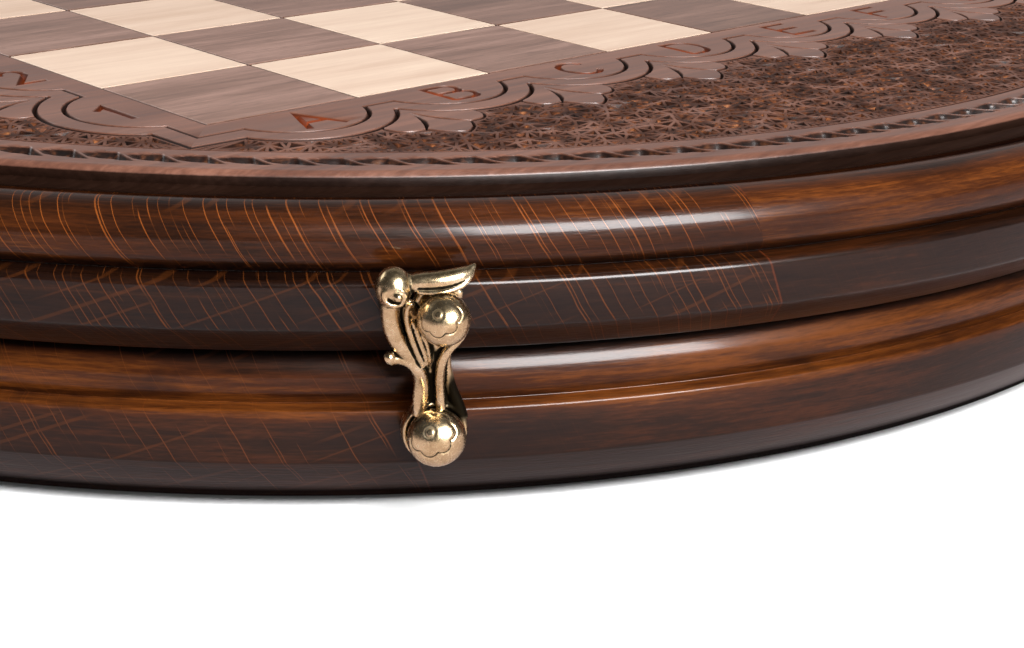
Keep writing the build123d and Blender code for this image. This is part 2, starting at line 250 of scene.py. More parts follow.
class Paint:
    """A material's node tree, with short calls for what the finishes share."""

    def __init__(self, name: str, **shader: float | tuple) -> None:
        """Start a material.

        Args:
            name: name of the material.
            shader: values set on the sockets of the Principled shader, by socket name with
                underscores for spaces.
        """
        self.material = bpy.data.materials.new(name)
        self.material.use_nodes = True
        self.tree = self.material.node_tree
        self.tree.nodes.clear()
        self.shader = self.tree.nodes.new("ShaderNodeBsdfPrincipled")
        output = self.tree.nodes.new("ShaderNodeOutputMaterial")
        self.tree.links.new(self.shader.outputs[0], output.inputs[0])
        for key, value in shader.items():
            self.shader.inputs[key.replace("_", " ")].default_value = value

    def put(self, socket: bpy.types.NodeSocket, value: object) -> None:
        """Link or set one input."""
        if isinstance(value, bpy.types.NodeSocket):
            self.tree.links.new(value, socket)
        else:
            socket.default_value = value

    def shade(self, name: str, value: object) -> None:
        """Link or set one input of the shader."""
        self.put(self.shader.inputs[name], value)

    def node(self, kind: str, inputs: dict, **settings: object) -> bpy.types.Node:
        """Add a node.

        Args:
            kind: node type.
            inputs: value or socket of each input, by name or number.
            settings: properties of the node.

        Returns:
            The node.
        """
        made = self.tree.nodes.new(kind)
        for key, value in settings.items():
            setattr(made, key, value)
        for key, value in inputs.items():
            self.put(made.inputs[key], value)
        return made

    def place(self) -> bpy.types.NodeSocket:
        """The point of the piece in the row frame, in metres."""
        return self.node("ShaderNodeTexCoord", {}).outputs["Object"]

    def stored(self, name: str) -> bpy.types.NodeSocket:
        """A number stored on the mesh."""
        return self.node("ShaderNodeAttribute", {}, attribute_name=name).outputs["Fac"]

    def parts(self, vector: bpy.types.NodeSocket) -> tuple:
        """X, Y and Z of a vector."""
        return tuple(self.node("ShaderNodeSeparateXYZ", {0: vector}).outputs)

    def maths(self, operation: str, a: object, b: object = 0.0, c: object = 0.0,
              clamp: bool = False) -> bpy.types.NodeSocket:
        """One sum of up to three numbers."""
        return self.node("ShaderNodeMath", {0: a, 1: b, 2: c}, operation=operation,
                         use_clamp=clamp).outputs[0]

    def times(self, a: object, b: object, clamp: bool = False) -> bpy.types.NodeSocket:
        """Product of two numbers."""
        return self.maths("MULTIPLY", a, b, clamp=clamp)

    def plus(self, a: object, b: object) -> bpy.types.NodeSocket:
        """Sum of two numbers."""
        return self.maths("ADD", a, b)

    def minus(self, a: object, b: object, clamp: bool = False) -> bpy.types.NodeSocket:
        """Difference of two numbers."""
        return self.maths("SUBTRACT", a, b, clamp=clamp)

    def linear(self, a: object, gain: object, offset: object) -> bpy.types.NodeSocket:
        """A number times a gain, plus an offset."""
        return self.maths("MULTIPLY_ADD", a, gain, offset)

    def larger(self, a: object, b: object) -> bpy.types.NodeSocket:
        """The larger of two numbers."""
        return self.maths("MAXIMUM", a, b)

    def far(self, x: object, y: object) -> bpy.types.NodeSocket:
        """Distance from the middle of a plane."""
        return self.maths("SQRT", self.plus(self.times(x, x), self.times(y, y)))

    def noise(self, vector: object, scale: float = 1.0, detail: float = 3.0,
              rough: float = 0.55, bend: float = 0.0) -> bpy.types.NodeSocket:
        """Cloudy noise from 0 to 1."""
        return self.node("ShaderNodeTexNoise", {
            "Vector": vector, "Scale": scale, "Detail": detail, "Roughness": rough,
            "Distortion": bend}).outputs[0]

    def stretched(self, x: object, y: object, z: object, detail: float = 3.0,
                  rough: float = 0.55, bend: float = 0.0) -> bpy.types.NodeSocket:
        """Cloudy noise that is drawn out along the wood.

        Args:
            x, y, z: each a number, or a pair of a number and its gain.
            detail, rough, bend: as for plain noise.

        Returns:
            Noise from 0 to 1.
        """
        axes = [self.times(*axis) if isinstance(axis, tuple) else axis for axis in (x, y, z)]
        joined = self.node("ShaderNodeCombineXYZ", dict(enumerate(axes))).outputs[0]
        return self.noise(joined, 1.0, detail, rough, bend)

    def chance(self, value: object) -> bpy.types.NodeSocket:
        """A fixed random number from 0 to 1 for each whole number."""
        return self.node("ShaderNodeTexWhiteNoise", {"W": value}, noise_dimensions="1D").outputs[0]

    def step(self, value: object, low: float, high: float) -> bpy.types.NodeSocket:
        """A smooth rise from 0 at low to 1 at high."""
        return self.node("ShaderNodeMapRange", {0: value, 1: low, 2: high, 3: 0.0, 4: 1.0},
                         interpolation_type="SMOOTHSTEP").outputs[0]

    def ramp(self, value: object, *stops: tuple[float, str]) -> bpy.types.NodeSocket:
        """Colours along a ramp: (position, sRGB code)."""
        made = self.node("ShaderNodeValToRGB", {0: value})
        band = made.color_ramp
        while len(band.elements) < len(stops):
            band.elements.new(0.5)
        for element, (position, code) in zip(band.elements, stops):
            element.position = position
            element.color = colour(code)
        return made.outputs[0]

    def mix(self, share: object, a: object, b: object) -> bpy.types.NodeSocket:
        """Mix two colours."""
        made = self.node("ShaderNodeMix", {0: share}, data_type="RGBA")
        self.put(made.inputs[6], a)
        self.put(made.inputs[7], b)
        return made.outputs[2]

    def bump(self, height: object, depth: float, strength: float) -> bpy.types.NodeSocket:
        """Surface relief, its depth in millimetres."""
        return self.node("ShaderNodeBump", {"Height": height, "Distance": depth * MM,
                                            "Strength": strength}).outputs[0]

    def finish(self, base: object, rough: object, normal: object = None) -> bpy.types.Material:
        """Link colour, roughness and relief to the shader and return the material."""
        self.shade("Base Color", base)
        self.shade("Roughness", rough)
        if normal is not None:
            self.shade("Normal", normal)
        return self.material


@dataclass(frozen=True)
class LacqueredBeech:
    """Dark-stained, lacquered beech of the turned mouldings, with its pale ray flecks."""

    name: str
    turn: float                 # where the glue joints are, in lengths
    phase: float                # which of the lengths show the flecks
    slant: float                # how far the rays lean on an upright face
    warmth: float               # how much of the ring is orange rather than dark
    blotch: float               # strength of the dark clouds in the stain
    spacing: float              # between two rays, mm
    fleck: Point                # how strongly the rays stand out on the bead and elsewhere
    bead: float                 # height of the middle of the bead, mm
    rub_and_sheen: float                  # how much warmer and lighter the bead is: rubbing wear and painted sheen where it catches the light
    segments: int = 8           # glued lengths round the ring
    stain: Ramp = ((0.12, "040201"), (0.36, "0e0503"), (0.55, "1e0d05"), (0.74, "391a08"),
                   (0.95, "633411"))
    cloud: str = "140a08"
    ray: str = "85461a"
    glue: str = "6a3016"
    # painted shade for the cove below the carved top and the foot of the box
    painted_shade: str = "050202"
    bead_reach: Point = (7.2, 4.2)      # from the bead's middle: where it ends and is full, mm
    shaded_cove_radius: Point = (287.6, 285.8)
    shaded_cove_height: Point = (69.5, 70.5)
    shaded_foot_height: Point = (8.5, 5.5)
    ray_width: Point = (0.115, 0.18)    # half widths of the fine and the wide rays, mm
    wide_rays: float = 2.3              # spacing of the wide rays for that of the fine ones
    growth: tuple[float, float, float] = (-2.6, 12.0, 1.1)  # lean, spacing and half width

    def rays(self, p: Paint, ray: object, z: object, radius: object, spacing: float,
             width: float, seed: float) -> bpy.types.NodeSocket:
        """Thin broken lines, one at a random place in each step of the ray coordinate.

        Args:
            p: the material's tree.
            ray: coordinate across the lines, in metres.
            z: height of the point.
            radius: distance of the point from the axis.
            spacing: mean distance between two lines, in millimetres.
            width: half width of the widest line, in millimetres.
            seed: shifts the random numbers.

        Returns:
            1 on a line, 0 beside it.
        """
        cell = p.linear(ray, 1 / (spacing * MM), seed)
        number = p.maths("FLOOR", cell)
        spot = p.linear(p.chance(number), 0.76, 0.12)
        gap = p.maths("ABSOLUTE", p.minus(p.maths("FRACT", cell), spot))
        own = p.chance(p.plus(number, 37.7))
        half = p.linear(own, width / spacing, 0.35 * width / spacing)
        line = p.minus(1.0, p.maths("DIVIDE", gap, half), clamp=True)
        length = p.stretched((number, 5.37), (z, 85), (radius, 60), 1.0)
        broken = p.step(p.linear(own, 0.14, length), 0.47, 0.6)
        return p.times(p.step(line, 0.0, 0.55), broken)

    def flecks(self, p: Paint, shift: object, z: object, radius: object,
               on_bead: object) -> bpy.types.NodeSocket:
        """Rays and growth lines: 1 on a line, 0 beside it.

        Args:
            p: the material's tree.
            shift: place along the ring, in metres.
            z: height of the point.
            radius: distance of the point from the axis.
            on_bead: 1 on the bead, 0 elsewhere.

        Returns:
            How strong the lines are before the figure of the length.
        """
        wobble = p.stretched((shift, 60), (z, 110), 0.3, 1.0)
        ray = p.linear(z, self.slant, p.linear(wobble, 0.0014, shift))
        fine, wide = self.ray_width
        fleck = p.larger(self.rays(p, ray, z, radius, self.spacing, fine, 100.0),
                         self.rays(p, ray, z, radius, self.spacing * self.wide_rays, wide, 203.0))
        lean, spacing, width = self.growth
        growth = self.rays(p, p.linear(z, lean, shift), z, radius, spacing, width, 311.0)
        return p.larger(fleck, p.times(growth, p.linear(on_bead, -0.3, 0.3)))

    def material(self) -> bpy.types.Material:
        """Make the material."""
        p = Paint(self.name, Coat_Roughness=0.13)
        x, y, z = p.parts(p.place())
        angle = p.maths("ARCTAN2", y, x)
        radius = p.far(x, y)
        along = p.times(angle, UPPER_RADIUS * MM)
        # glued lengths: each has its own figure and tone, and their joints lean a little
        count = p.linear(angle, self.segments / (2 * math.pi), self.turn + 50)
        count = p.linear(z, 1.6, p.plus(count, -1.6 * 0.06))
        length = p.maths("FLOOR", count)
        own = p.chance(length)
        figure = p.step(p.maths("FRACT", p.linear(length, 0.618, self.phase)), 0.4, 0.72)
        shift = p.linear(own, 3.1, along)
        grain = p.stretched((shift, 30), (radius, 620), (z, 620), 4.0, 0.62, 0.25)
        fine = p.stretched((shift, 240), (radius, 2300), (z, 2300), 2.0, 0.6)
        cloud = p.stretched((shift, 9), (radius, 45), (z, 60), 3.0, 0.55, 0.5)
        tone = p.linear(grain, 0.5, p.times(cloud, 0.8))
        tone = p.linear(fine, 0.3, p.plus(tone, -0.42 + 0.22 * self.warmth))
        tone = p.linear(own, 0.08, tone)
        above = p.maths("ABSOLUTE", p.minus(z, self.bead * MM))
        on_bead = p.step(above, *(reach * MM for reach in self.bead_reach))
        # the bead is made warmer and lighter: rubbing wear and painted sheen
        base = p.ramp(p.linear(on_bead, self.rub_and_sheen, tone), *self.stain)
        blotch = p.step(p.stretched((shift, 26), (z, 75), 3.3, 3.0, 0.6, 0.4), 0.56, 0.74)
        base = p.mix(p.times(blotch, self.blotch), base, colour(self.cloud))
        # ray flecks, upright where the wood turns over the bead and slanting on upright faces
        fleck = self.flecks(p, shift, z, radius, on_bead)
        strength = p.linear(on_bead, self.fleck[0] - self.fleck[1], self.fleck[1])
        fleck = p.times(fleck, p.linear(figure, 0.9, 0.05))
        base = p.mix(p.times(fleck, strength), base, colour(self.ray))
        # glue line between two lengths
        seam = p.maths("ABSOLUTE", p.minus(p.maths("FRACT", count), 0.5))
        glued = p.times(p.step(seam, 0.4985, 0.4996), p.linear(on_bead, -0.36, 0.38))
        base = p.mix(glued, base, colour(self.glue))
        # painted shade: near-black in the cove below the carved top and along the foot of the box,
        # with less shine there
        shade_mask = p.times(p.step(radius, *(r * MM for r in self.shaded_cove_radius)),
                           p.step(z, *(h * MM for h in self.shaded_cove_height)))
        shade_mask = p.larger(shade_mask, p.step(z, *(h * MM for h in self.shaded_foot_height)))
        base = p.mix(p.times(shade_mask, 0.85), base, colour(self.painted_shade))
        bare = p.minus(1.0, shade_mask)
        p.shade("Specular IOR Level", p.times(bare, 0.1))
        p.shade("Coat Weight", p.linear(bare, p.linear(on_bead, -0.1, 0.32), 0.04))
        relief = p.bump(p.linear(fine, 0.8, grain), 0.09, 0.6)
        return p.finish(base, p.linear(grain, 0.16, 0.26), relief)


@dataclass(frozen=True)
class CarvedBeech:
    """Stained beech of the carved top: grain across the board, painted shade in the cuts."""

    name: str = "carved_beech"
    flat: Ramp = ((0.25, "3a221b"), (0.5, "5a392c"), (0.72, "7a5242"))
    # painted shade of the chips, its lighter end painted glints
    pit: Ramp = ((0.36, "0e0604"), (0.5, "2a150c"), (0.6, "5c341e"), (0.72, "8c5a36"))
    # painted shade in the cut lines
    line: str = "180a06"
    letter: str = "64290f"
    # painted shade of the sunk ledge round the rim
    ledge_shade: str = "040201"
    # painted shade of the rope's chips
    rope: str = "0a0403"
    full_shade_depth: float = 0.9             # a cut this deep has all its painted shade, mm
    carving_end: Point = (277.5, 276.5)
    ledge_shade_radius: Point = (279.4, 279.75)
    ledge_shade_height: Point = (74.3, 73.8)
    rope_shade_radius: Point = (267.2, 267.8)

    def material(self) -> bpy.types.Material:
        """Make the material."""
        p = Paint(self.name, Coat_Roughness=0.22)
        x, y, z = p.parts(p.place())
        lane = p.stretched((x, 3.5), (y, 60), 1.3)
        streak = p.stretched((x, 22), (y, 900), (z, 900), 3.0, 0.6, 0.15)
        pore = p.stretched((x, 220), (y, 2600), (z, 2000), 1.0)
        flat = p.ramp(p.linear(streak, 0.5, p.times(lane, 0.5)), *self.flat)
        radius = p.far(x, y)
        within = p.step(radius, *(r * MM for r in self.carving_end))
        # painted shade: the colour darkens with the depth of a cut
        depth = p.maths("DIVIDE", p.minus(TOP * MM, z), self.full_shade_depth * MM, clamp=True)
        depth = p.times(depth, within)
        # painted glints: orange spots in the chips' painted shade
        glint = p.noise(p.place(), 420.0, 1.0)
        pit = p.ramp(p.linear(streak, 0.5, p.times(glint, 0.5)), *self.pit)
        # the mark is 1 in the lettering, 0 in the lines and -1 in the chips of the ground
        mark = p.stored("mark")
        chip = p.times(mark, -1.0, clamp=True)
        letter = p.times(mark, 1.0, clamp=True)
        base = p.mix(p.step(depth, 0.06, 0.5), flat, colour(self.line))
        base = p.mix(p.times(chip, p.step(depth, 0.1, 0.6)), base, pit)
        base = p.mix(p.times(letter, p.step(depth, 0.05, 0.4)), base, colour(self.letter))
        # painted shade: the sunk ledge round the rim is made near-black
        ledge_shade = p.times(p.step(radius, *(r * MM for r in self.ledge_shade_radius)),
                        p.step(z, *(h * MM for h in self.ledge_shade_height)))
        base = p.mix(p.times(ledge_shade, 0.93), base, colour(self.ledge_shade))
        sunk = p.step(depth, 0.04, 0.3)
        bare = p.minus(p.linear(sunk, -0.88, 1.0), ledge_shade, clamp=True)
        # painted shade: the chips of the rope are darkened; lacquer lies thick in them and leaves
        # them glassy
        rope = p.times(chip, p.step(radius, *(r * MM for r in self.rope_shade_radius)))
        base = p.mix(p.times(rope, 0.6), base, colour(self.rope))
        p.shade("Specular IOR Level", p.linear(bare, 0.46, 0.06))
        p.shade("Coat Weight", p.linear(rope, 0.6, p.linear(bare, 0.26, 0.03)))
        relief = p.bump(p.linear(pore, 0.6, streak), 0.05, 0.6)
        return p.finish(base, p.linear(sunk, 0.25, p.linear(streak, 0.18, 0.27)), relief)


class VeneerTone(Enum):
    """The two woods of the board: dark to pale sRGB codes, roughness and share of pores."""

    DARK = ("442e25", "694d41", "8b6c60", 0.34, 0.42)
    PALE = ("a78b76", "b89f8c", "c6b09c", 0.36, 0.07)


@dataclass(frozen=True)
class Veneer:
    """Satin veneer of the squares, grain along the ranks, each square its own leaf."""

    name: str
    tone: VeneerTone

    def material(self) -> bpy.types.Material:
        """Make the material."""
        low, middle, high, rough, pores = self.tone.value
        p = Paint(self.name, Coat_Roughness=0.24)
        x, y, z = p.parts(p.place())
        leaf = p.stored("leaf")
        offset = p.times(leaf, 2.7)
        lane = p.stretched((x, 9), p.linear(y, 130, offset), offset, 3.0, 0.55, 0.6)
        streak = p.stretched((x, 55), p.linear(y, 1500, offset), offset, 3.0, 0.65, 0.2)
        pore = p.stretched((x, 260), (y, 3600), offset, 1.0)
        tone = p.linear(streak, 0.45, p.times(lane, 0.5))
        tone = p.plus(tone, p.linear(leaf, 0.14, -0.05))
        base = p.ramp(tone, (0.3, low), (0.5, middle), (0.7, high))
        base = p.mix(p.times(p.step(pore, 0.6, 0.72), pores), base, colour("2a1712"))
        edge = p.step(p.minus(TOP * MM, z), 0.04 * MM, 0.3 * MM)
        base = p.mix(p.times(edge, 0.9), base, colour("241009"))
        p.shade("Specular IOR Level", p.linear(edge, -0.4, 0.42))
        p.shade("Coat Weight", p.linear(edge, -0.15, 0.15))
        relief = p.bump(p.linear(pore, 0.5, streak), 0.025, 0.5)
        return p.finish(base, p.linear(streak, 0.12, rough - 0.06), relief)


@dataclass(frozen=True)
class AntiqueBrass:
    """Cast brass, rubbed bright on the high parts and dark in the hollows."""

    name: str = "antique_brass"
    metal: Ramp = ((0.3, "a98f69"), (0.55, "ccb590"), (0.75, "e2d0b2"))
    patina: str = "16120b"

    def material(self) -> bpy.types.Material:
        """Make the material."""
        p = Paint(self.name, Metallic=1.0)
        here = p.place()
        smear = p.noise(here, 260.0, 3.0, 0.6)
        speck = p.noise(here, 1500.0, 2.0, 0.6)
        dirt = p.linear(smear, 0.35, p.stored("hollow"))
        metal = p.ramp(p.linear(speck, 0.4, p.times(smear, 0.6)), *self.metal)
        base = p.mix(p.step(dirt, 0.3, 0.72), metal, colour(self.patina))
        rough = p.linear(p.step(dirt, 0.2, 0.7), 0.35, p.linear(speck, 0.12, 0.2))
        return p.finish(base, rough, p.bump(p.linear(speck, 0.3, smear), 0.05, 0.4))


@dataclass(frozen=True)
class Board:
    """Plain, clear-coated wood of the inside parts; plywood has its plies on the edges."""

    name: str
    pale: str
    deep: str
    plies: float = 0.0          # thickness of a ply, mm

    def material(self) -> bpy.types.Material:
        """Make the material."""
        p = Paint(self.name, Specular_IOR_Level=0.4)
        x, y, z = p.parts(p.place())
        lane = p.stretched((x, 8), (y, 90), (z, 160), 3.0, 0.55, 0.8)
        streak = p.stretched((x, 60), (y, 1300), (z, 1300), 3.0, 0.6)
        tone = p.linear(streak, 0.5, p.times(lane, 0.5))
        base = p.ramp(tone, (0.3, self.deep), (0.7, self.pale))
        if self.plies:
            up = p.node("ShaderNodeNewGeometry", {}).outputs["Normal"]
            level = p.maths("ABSOLUTE", p.parts(up)[2])
            ply = p.maths("FRACT", p.times(z, 1 / (self.plies * MM * 2)))
            band = p.times(p.step(ply, 0.46, 0.54), p.step(level, 0.8, 0.2))
            base = p.mix(p.times(band, 0.55), base, colour("7a5230"))
        return p.finish(base, p.linear(streak, 0.2, 0.42), p.bump(streak, 0.04, 0.5))


@dataclass(frozen=True)
class Cloth:
    """Short-napped felt or a pressed pad."""

    name: str
    pale: str
    deep: str
    sheen: float = 0.3

    def material(self) -> bpy.types.Material:
        """Make the material."""
        p = Paint(self.name, Specular_IOR_Level=0.15, Sheen_Weight=self.sheen, Sheen_Roughness=0.6)
        here = p.place()
        nap = p.noise(here, 2400.0, 3.0, 0.7, 1.0)
        cloud = p.noise(here, 60.0, 2.0)
        tone = p.linear(nap, 0.6, p.times(cloud, 0.4))
        base = p.ramp(tone, (0.35, self.deep), (0.65, self.pale))
        return p.finish(base, p.linear(nap, 0.1, 0.88), p.bump(nap, 0.25, 0.7))


def finish(paint: LacqueredBeech | CarvedBeech | Veneer | AntiqueBrass | Board | Cloth) -> object:
    """A dataclass field whose value is the material of a finish."""
    return field(default_factory=paint.material)


@dataclass
class Finishes:
    """Every finish of the box, made once."""

    upper: bpy.types.Material = finish(LacqueredBeech(
        "stained_beech_upper", turn=0.467, phase=0.7, slant=0.6, warmth=0.4, blotch=0.3,
        spacing=2.9, fleck=(0.6, 0.32), bead=66.5, rub_and_sheen=0.2))
    lower: bpy.types.Material = finish(LacqueredBeech(
        "stained_beech_lower", turn=0.85, phase=0.62, slant=0.55, warmth=0.5, blotch=0.6,
        spacing=6.0, fleck=(0.14, 0.36), bead=31.0, rub_and_sheen=0.25))
    carved: bpy.types.Material = finish(CarvedBeech())
    dark: bpy.types.Material = finish(Veneer("dark_veneer", VeneerTone.DARK))
    pale: bpy.types.Material = finish(Veneer("pale_veneer", VeneerTone.PALE))
    brass: bpy.types.Material = finish(AntiqueBrass())
    wood: bpy.types.Material = finish(Board("drawer_wood", "c49a6a", "9c7044"))
    plywood: bpy.types.Material = finish(Board("plywood", "cfab7c", "ad8452", 0.5))
    felt: bpy.types.Material = finish(Cloth("felt", "23573a", "143722"))
    pad: bpy.types.Material = finish(Cloth("pad", "3b2c25", "241a16", 0.15))


# ------------------------------------------------------------------ repeats in geometry nodes

class NodeGroup:
    """A geometry node tree with named inputs."""

    def __init__(self, name: str) -> None:
        """Start a tree with a geometry input and output."""
        self.tree = bpy.data.node_groups.new(name, "GeometryNodeTree")
        self.names: dict[str, str] = {}
        for way in ("INPUT", "OUTPUT"):
            self.tree.interface.new_socket("Geometry", in_out=way,
                                           socket_type="NodeSocketGeometry")
        self.source = self.tree.nodes.new("NodeGroupInput")
        self.sink = self.tree.nodes.new("NodeGroupOutput")

    def input(self, name: str, kind: str) -> str:
        """Add a named input of a socket type and return its name."""
        made = self.tree.interface.new_socket(name, in_out="INPUT", socket_type=kind)
        self.names[name] = made.identifier
        return name

    def node(self, kind: str, inputs: dict, **settings: object) -> bpy.types.Node:
        """Add a node with its settings and inputs; a text value names a tree input."""
        made = self.tree.nodes.new(kind)
        for key, value in settings.items():
            setattr(made, key, value)
        for key, value in inputs.items():
            socket = made.inputs[key]
            if isinstance(value, str) and value in self.names:
                self.tree.links.new(self.source.outputs[value], socket)
            elif isinstance(value, bpy.types.NodeSocket):
                self.tree.links.new(value, socket)
            else:
                socket.default_value = value
        return made

    def end(self, geometry: bpy.types.NodeSocket, material: str) -> None:
        """Realize the instances, set the material and close the tree."""
        real = self.node("GeometryNodeRealizeInstances", {0: geometry})
        dressed = self.node("GeometryNodeSetMaterial", {0: real.outputs[0], "Material": material})
        self.tree.links.new(dressed.outputs[0], self.sink.inputs[0])

    def run(self, name: str, values: dict[str, object]) -> bpy.types.Object:
        """Run the tree on an empty mesh.

        Args:
            name: name of the piece that is made.
            values: value of each named input.

        Returns:
            A plain mesh object.
        """
        obj = link(bpy.data.objects.new(name + "_maker", bpy.data.meshes.new(name + "_maker")))
        modifier = obj.modifiers.new("repeat", "NODES")
        modifier.node_group = self.tree
        for key, value in values.items():
            modifier[self.names[key]] = value
        return baked(obj, name)


def ring_group() -> NodeGroup:
    """Tree that repeats a template round the middle of the box."""
    g = NodeGroup("repeat_round_the_middle")
    for name, kind in (("Count", "NodeSocketInt"), ("Start", "NodeSocketFloat"),
                       ("Template", "NodeSocketObject"), ("Material", "NodeSocketMaterial")):
        g.input(name, kind)
    points = g.node("GeometryNodeMeshLine", {"Count": "Count", "Offset": (0.0, 0.0, 0.0)})
    index = g.node("GeometryNodeInputIndex", {})
    share = g.node("ShaderNodeMath", {0: index.outputs[0], 1: "Count"}, operation="DIVIDE")
    angle = g.node("ShaderNodeMath", {0: share.outputs[0], 1: 2 * math.pi, 2: "Start"},
                   operation="MULTIPLY_ADD")
    turn = g.node("ShaderNodeCombineXYZ", {2: angle.outputs[0]})
    template = g.node("GeometryNodeObjectInfo", {"Object": "Template"})
    copies = g.node("GeometryNodeInstanceOnPoints", {
        "Points": points.outputs[0], "Instance": template.outputs["Geometry"],
        "Rotation": turn.outputs[0]})
    g.end(copies.outputs[0], "Material")
    return g


def tile_group() -> NodeGroup:
    """Tree that lays every second square of the board and numbers each leaf of veneer."""
    g = NodeGroup("every_second_square")
    for name, kind in (("Count", "NodeSocketInt"), ("Width", "NodeSocketFloat"),
                       ("Odd", "NodeSocketInt"), ("Seed", "NodeSocketInt"),
                       ("Tile", "NodeSocketObject"), ("Material", "NodeSocketMaterial")):
        g.input(name, kind)
    grid = g.node("GeometryNodeMeshGrid", {"Size X": "Width", "Size Y": "Width",
                                           "Vertices X": "Count", "Vertices Y": "Count"})
    index = g.node("GeometryNodeInputIndex", {})
    row = g.node("ShaderNodeMath", {0: index.outputs[0], 1: "Count"}, operation="DIVIDE")
    row = g.node("ShaderNodeMath", {0: row.outputs[0]}, operation="FLOOR")
    total = g.node("ShaderNodeMath", {0: row.outputs[0], 1: index.outputs[0]}, operation="ADD")
    parity = g.node("ShaderNodeMath", {0: total.outputs[0], 1: 2.0}, operation="MODULO")
    wanted = g.node("FunctionNodeCompare", {0: parity.outputs[0], 1: "Odd"}, data_type="FLOAT",
                    operation="EQUAL")
    tile = g.node("GeometryNodeObjectInfo", {"Object": "Tile"})
    copies = g.node("GeometryNodeInstanceOnPoints", {
        "Points": grid.outputs[0], "Selection": wanted.outputs[0],
        "Instance": tile.outputs["Geometry"]})
    leaf = g.node("FunctionNodeRandomValue", {"Seed": "Seed"}, data_type="FLOAT")
    marked = g.node("GeometryNodeStoreNamedAttribute", {
        "Geometry": copies.outputs[0], "Name": "leaf", "Value": leaf.outputs[1]},
        domain="INSTANCE", data_type="FLOAT")
    g.end(marked.outputs[0], "Material")
    return g


# ------------------------------------------------------------------ turned mouldings

def upper_outline() -> Outline:
    """Cove, half-round bead, quirk, eased fascia and undercut of the upper moulding."""
    r = UPPER_RADIUS
    cove, cove_end = (r - 15.4, 71.0), (r - 10.6, 72.1)
    quirk, ease = (r - 4.6, 59.1), (r - 1.6, 58.6)
    return eased([(268.0, 71.0), cove, *arc(cove, (r - 12.6, 71.25), cove_end, 5),
                  *arc(cove_end, (r - 0.2, 65.6), quirk, 36), ease,
                  *arc(ease, (r - 0.45, 58.1), (r, 57.0), 5), (r, 48.3), (r - 8.5, 40.6),
                  (268.0, 40.6)], 0.5)


def lower_outline() -> Outline:
    """Half-round bead, fillet, fascia and bevelled foot of the lower moulding."""
    r = LOWER_RADIUS
    top, end, fillet = (r - 10.0, 40.0), (r - 3.8, 27.4), (r - 0.9, 27.1)
    return eased([(265.0, 40.0), top, *arc(top, (r - 2.6, 33.2), end, 36), fillet,
                  *arc(fillet, (r - 0.25, 26.85), (r, 26.3), 4), (r, 15.2), (r - 8.2, 3.6),
                  (265.0, 3.6)], 0.5)


@dataclass
class Moulding:
    """A turned length of moulding, whole or cut off by the planes beside the drawers.

    Attributes:
        name: name of the piece.
        outline: closed outline of (radius, height).
        steps: chords round the piece.
        middle: angle of its middle in degrees, or None for a whole ring.
        cut: gives, for a radius, half the angle that the piece spans, in radians.
    """

    name: str
    outline: Outline
    steps: int = 480
    middle: float | None = None
    cut: Callable[[float], float] | None = None

    def build(self, material: bpy.types.Material) -> bpy.types.Object:
        """Make the mesh: a closed ring, or a length with flat ends."""
        profile = np.array(self.outline)
        count = len(profile)
        whole = self.middle is None
        rows = self.steps if whole else self.steps + 1
        share = np.arange(rows) / self.steps
        if whole:
            angles = np.repeat(share[:, None] * 2 * math.pi, count, 1)
        else:
            half = np.array([self.cut(r) for r in profile[:, 0]])
            angles = math.radians(self.middle) + (2 * share[:, None] - 1) * half[None, :]
        radius = profile[None, :, 0]
        points = np.stack([radius * np.cos(angles), radius * np.sin(angles),
                           np.broadcast_to(profile[None, :, 1], angles.shape)], 2).reshape(-1, 3)
        faces = swept(rows, count, whole)
        if not whole:
            faces.append(tuple(range(count)))
            faces.append(tuple((rows - 1) * count + j for j in reversed(range(count))))
        return mesh_object(self.name, points, faces, material, smooth=32)


@dataclass
class Mouldings:
    """The upper ring, the two cheeks and the two drawer fronts."""

    finishes: Finishes
    gap: float = 0.3

    def build(self) -> None:
        """Make and place all five."""
        ring = Moulding("upper_moulding_turned", upper_outline()).build(self.finishes.upper)
        settle(ring, "case", "stained_wood", "upper_moulding")
        low = lower_outline()
        for side, middle in (("left", 180.0), ("right", 0.0)):
            cheek = Moulding(f"cheek_{side}_turned", low, 96, middle,
                             lambda r: math.acos((SIDE_CUT + self.gap) / r))
            settle(cheek.build(self.finishes.lower), "case", "stained_wood", f"cheek_{side}")
        for body, middle in (("front_drawer", 270.0), ("rear_drawer", 90.0)):
            front = Moulding(f"{body}_front_turned", low, 200, middle,
                             lambda r: math.asin((SIDE_CUT - self.gap) / r))
            settle(front.build(self.finishes.lower), body, "stained_wood", f"{body}_front")


# ------------------------------------------------------------------ carved top

def stroke_arc(cx: float, cy: float, rx: float, ry: float, first: float, last: float,
               steps: int = 8) -> Outline:
    """Points along an upright ellipse between two angles in degrees."""
    return [(cx + rx * math.cos(math.radians(first + (last - first) * i / steps)),
             cy + ry * math.sin(math.radians(first + (last - first) * i / steps)))
            for i in range(steps + 1)]


